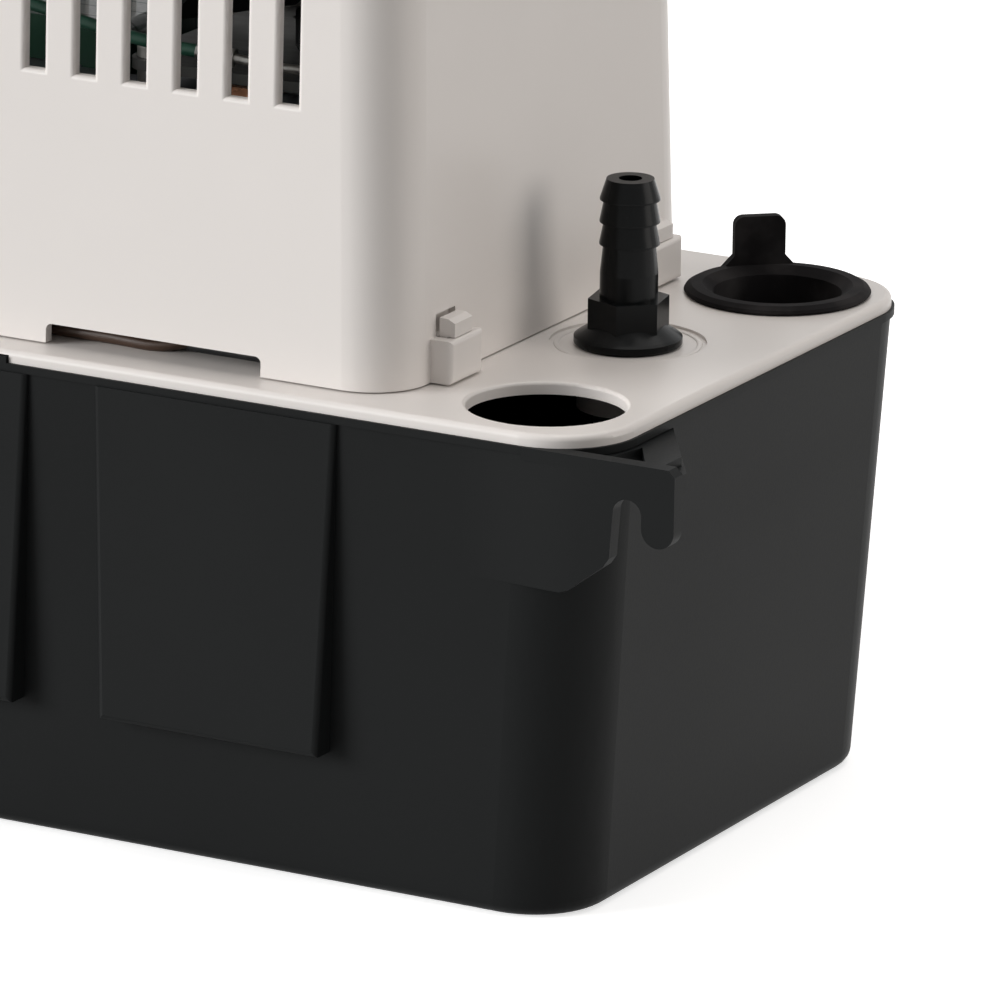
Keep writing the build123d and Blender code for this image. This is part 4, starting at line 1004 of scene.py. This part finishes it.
@dataclass(frozen=True)
class GroundLead(Dressing):
    """Green lead from the switch bracket's screw to a crimp, and the bare end on to a through bolt."""

    radius: float = 1.2
    crimp_radius: float = 1.7
    tail_radius: float = 0.9
    screw_inset: float = 2.4
    screw_rise: float = 0.6

    def pieces(self) -> list[Piece]:
        """Lay out the lead, its crimp and its bare end.

        Returns:
            The pieces.
        """
        bolts, screws = Box.of("through_bolts"), Box.of("bracket_screws")
        x, y, z = screws.centre.x, screws.low.y + self.screw_inset, screws.high.z + self.screw_rise
        insulated = (
            (x, y, z),
            (x + 5.0, y - 5.0, z + 3.0),
            (-56.0, -30.0, 112.0),
            (-30.0, -38.0, 134.0),
            (2.0, -42.5, 149.0),
            (12.0, -42.0, 148.2),
            (27.0, -41.5, 145.4),
            (38.0, -41.0, 143.9),
            (47.0, -40.0, 143.2),
        )
        crimp = ((46.0, -40.1, 143.3), (53.0, -39.0, 142.6))
        bare = (
            (52.5, -39.1, 142.7),
            (60.0, -36.6, 141.4),
            (69.0, -31.0, 140.2),
            (bolts.high.x - 3.5, bolts.low.y - 1.5, bolts.high.z + 0.4),
        )
        return [Lead("ground_lead", Finish.GREEN_LEAD, "plug_rubber", insulated, self.radius),
                Lead("ground_crimp", Finish.ZINC, "zinc_steel", crimp, self.crimp_radius),
                Lead("ground_tail", Finish.ZINC, "zinc_steel", bare, self.tail_radius)]


# ---------------------------------------------------------------------------
# Stage
# ---------------------------------------------------------------------------


@dataclass(frozen=True)
class Lamp:
    """One broad, distant lamp."""

    name: str
    azimuth: float
    elevation: float
    level: float
    spread: float
    tint: Colour = Colour(1.0, 1.0, 1.0)


@dataclass(frozen=True)
class Studio:
    """Camera, lamps, pale floor and white surroundings."""

    azimuth: float = 28.7099
    elevation: float = 16.2404
    roll: float = 0.6852
    camera_place: tuple[float, float, float] = (0.918617, -1.519622, 0.561016)
    lens: float = 357.825
    sensor: float = 36.0
    view_depth: float = 50.0
    sky: float = 0.18
    floor_half: float = 4.0
    floor_tone: Colour = Colour(0.40, 0.40, 0.40)
    floor_shown: Colour = Colour(0.95, 0.95, 0.95)
    floor_lift: float = 0.62
    lamps: tuple[Lamp, ...] = (
        Lamp("key", -49.0, 14.0, 0.97, 30.0),
        Lamp("side", 109.0, 14.0, 0.27, 36.0, Colour(1.0, 0.95, 0.90)),
        Lamp("overhead", 160.0, 78.0, 0.35, 60.0, Colour(1.0, 0.97, 0.94)),
    )

    def direction(self, azimuth: float, elevation: float) -> Vector:
        """Unit vector towards a place on the sky.

        Args:
            azimuth: Degrees round from the front, positive to the right.
            elevation: Degrees above the floor.

        Returns:
            The vector.
        """
        turn, rise = math.radians(azimuth), math.radians(elevation)
        level = math.cos(rise)
        return Vector((math.sin(turn) * level, -math.cos(turn) * level, math.sin(rise)))

    def add_camera(self) -> None:
        """Create the camera that looks from the front right."""
        data = bpy.data.cameras.new("camera")
        data.sensor_width = self.sensor
        data.lens = self.lens
        data.clip_end = self.view_depth
        camera = bpy.data.objects.new("camera", data)
        back = self.direction(self.azimuth, self.elevation)
        level = Vector((math.cos(math.radians(self.azimuth)), math.sin(math.radians(self.azimuth)), 0.0))
        right = Matrix.Rotation(math.radians(self.roll), 3, back) @ level
        rows = Matrix((right, back.cross(right), back)).transposed()
        camera.matrix_world = Matrix.Translation(self.camera_place) @ rows.to_4x4()
        bpy.context.scene.collection.objects.link(camera)
        bpy.context.scene.camera = camera

    def add_lamp(self, lamp: Lamp) -> None:
        """Add one lamp.

        Args:
            lamp: Its place in degrees, the brightness of a white surface that faces it, its apparent width in
                degrees, and its tint.
        """
        data = bpy.data.lights.new(lamp.name, "SUN")
        data.energy = lamp.level * math.pi
        data.color = lamp.tint.rgba()[:3]
        data.angle = math.radians(lamp.spread)
        light = bpy.data.objects.new(lamp.name, data)
        towards = self.direction(lamp.azimuth, lamp.elevation)
        light.rotation_euler = towards.to_track_quat("Z", "Y").to_euler()
        bpy.context.scene.collection.objects.link(light)

    @staticmethod
    def seen(tree: bpy.types.NodeTree) -> bpy.types.NodeSocket:
        """Tell the rays that show the surroundings from those that only carry light.

        Args:
            tree: The node tree that it is for.

        Returns:
            1 for camera, glossy and transmission rays, and 0 for the rest.
        """
        path = tree.nodes.new("ShaderNodeLightPath")
        total = path.outputs["Is Camera Ray"]
        for name in ("Is Glossy Ray", "Is Transmission Ray"):
            either = tree.nodes.new("ShaderNodeMath")
            either.operation = "MAXIMUM"
            tree.links.new(total, either.inputs[0])
            tree.links.new(path.outputs[name], either.inputs[1])
            total = either.outputs[0]
        return total

    def add_sky(self) -> None:
        """Dim, even sky for light, with white for the camera and for reflections."""
        world = bpy.data.worlds.new("sky")
        world.use_nodes = True
        tree = world.node_tree
        tree.nodes.clear()
        level = tree.nodes.new("ShaderNodeMapRange")
        level.inputs["To Min"].default_value = self.sky
        level.inputs["To Max"].default_value = 1.0
        tree.links.new(self.seen(tree), level.inputs["Value"])
        background = tree.nodes.new("ShaderNodeBackground")
        background.inputs["Color"].default_value = (1.0, 1.0, 1.0, 1.0)
        tree.links.new(level.outputs[0], background.inputs["Strength"])
        output = tree.nodes.new("ShaderNodeOutputWorld")
        tree.links.new(background.outputs[0], output.inputs["Surface"])
        bpy.context.scene.world = world

    def floor_material(self) -> bpy.types.Material:
        """Grey for the light that the floor sends up, and near white where it shows.

        Returns:
            The material.
        """
        material = bpy.data.materials.new("floor")
        material.use_nodes = True
        tree = material.node_tree
        tree.nodes.clear()
        pale = tree.nodes.new("ShaderNodeBsdfDiffuse")
        pale.inputs["Color"].default_value = self.floor_tone.rgba()
        bright = tree.nodes.new("ShaderNodeBsdfDiffuse")
        bright.inputs["Color"].default_value = self.floor_shown.rgba()
        lift = tree.nodes.new("ShaderNodeEmission")
        lift.inputs["Strength"].default_value = self.floor_lift
        both = tree.nodes.new("ShaderNodeAddShader")
        tree.links.new(bright.outputs[0], both.inputs[0])
        tree.links.new(lift.outputs[0], both.inputs[1])
        mix = tree.nodes.new("ShaderNodeMixShader")
        tree.links.new(self.seen(tree), mix.inputs[0])
        tree.links.new(pale.outputs[0], mix.inputs[1])
        tree.links.new(both.outputs[0], mix.inputs[2])
        output = tree.nodes.new("ShaderNodeOutputMaterial")
        tree.links.new(mix.outputs[0], output.inputs["Surface"])
        return material

    def add_floor(self) -> None:
        """Wide pale floor under the tank that keeps the shadow."""
        mesh = bpy.data.meshes.new("floor")
        shape = bmesh.new()
        bmesh.ops.create_grid(shape, x_segments=1, y_segments=1, size=self.floor_half)
        shape.to_mesh(mesh)
        shape.free()
        floor = bpy.data.objects.new("floor", mesh)
        bpy.context.scene.collection.objects.link(floor)
        mesh.materials.append(self.floor_material())

    def build(self) -> None:
        """Set up the whole studio."""
        bpy.context.scene.view_settings.view_transform = "Standard"
        self.add_camera()
        self.add_sky()
        self.add_floor()
        for lamp in self.lamps:
            self.add_lamp(lamp)


def main() -> None:
    """Build the dressed pump."""
    logging.basicConfig(level=logging.INFO, format="%(name)s: %(message)s")
    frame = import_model()
    Studio().build()
    paint = Paintshop()
    paint.dress_nodes(frame["nodes"])
    for dressing in (Mouldings(), SwitchLeads(), FuseLeads(), GroundLead()):
        dressing.make(paint)


if __name__ == "__main__":
    main()
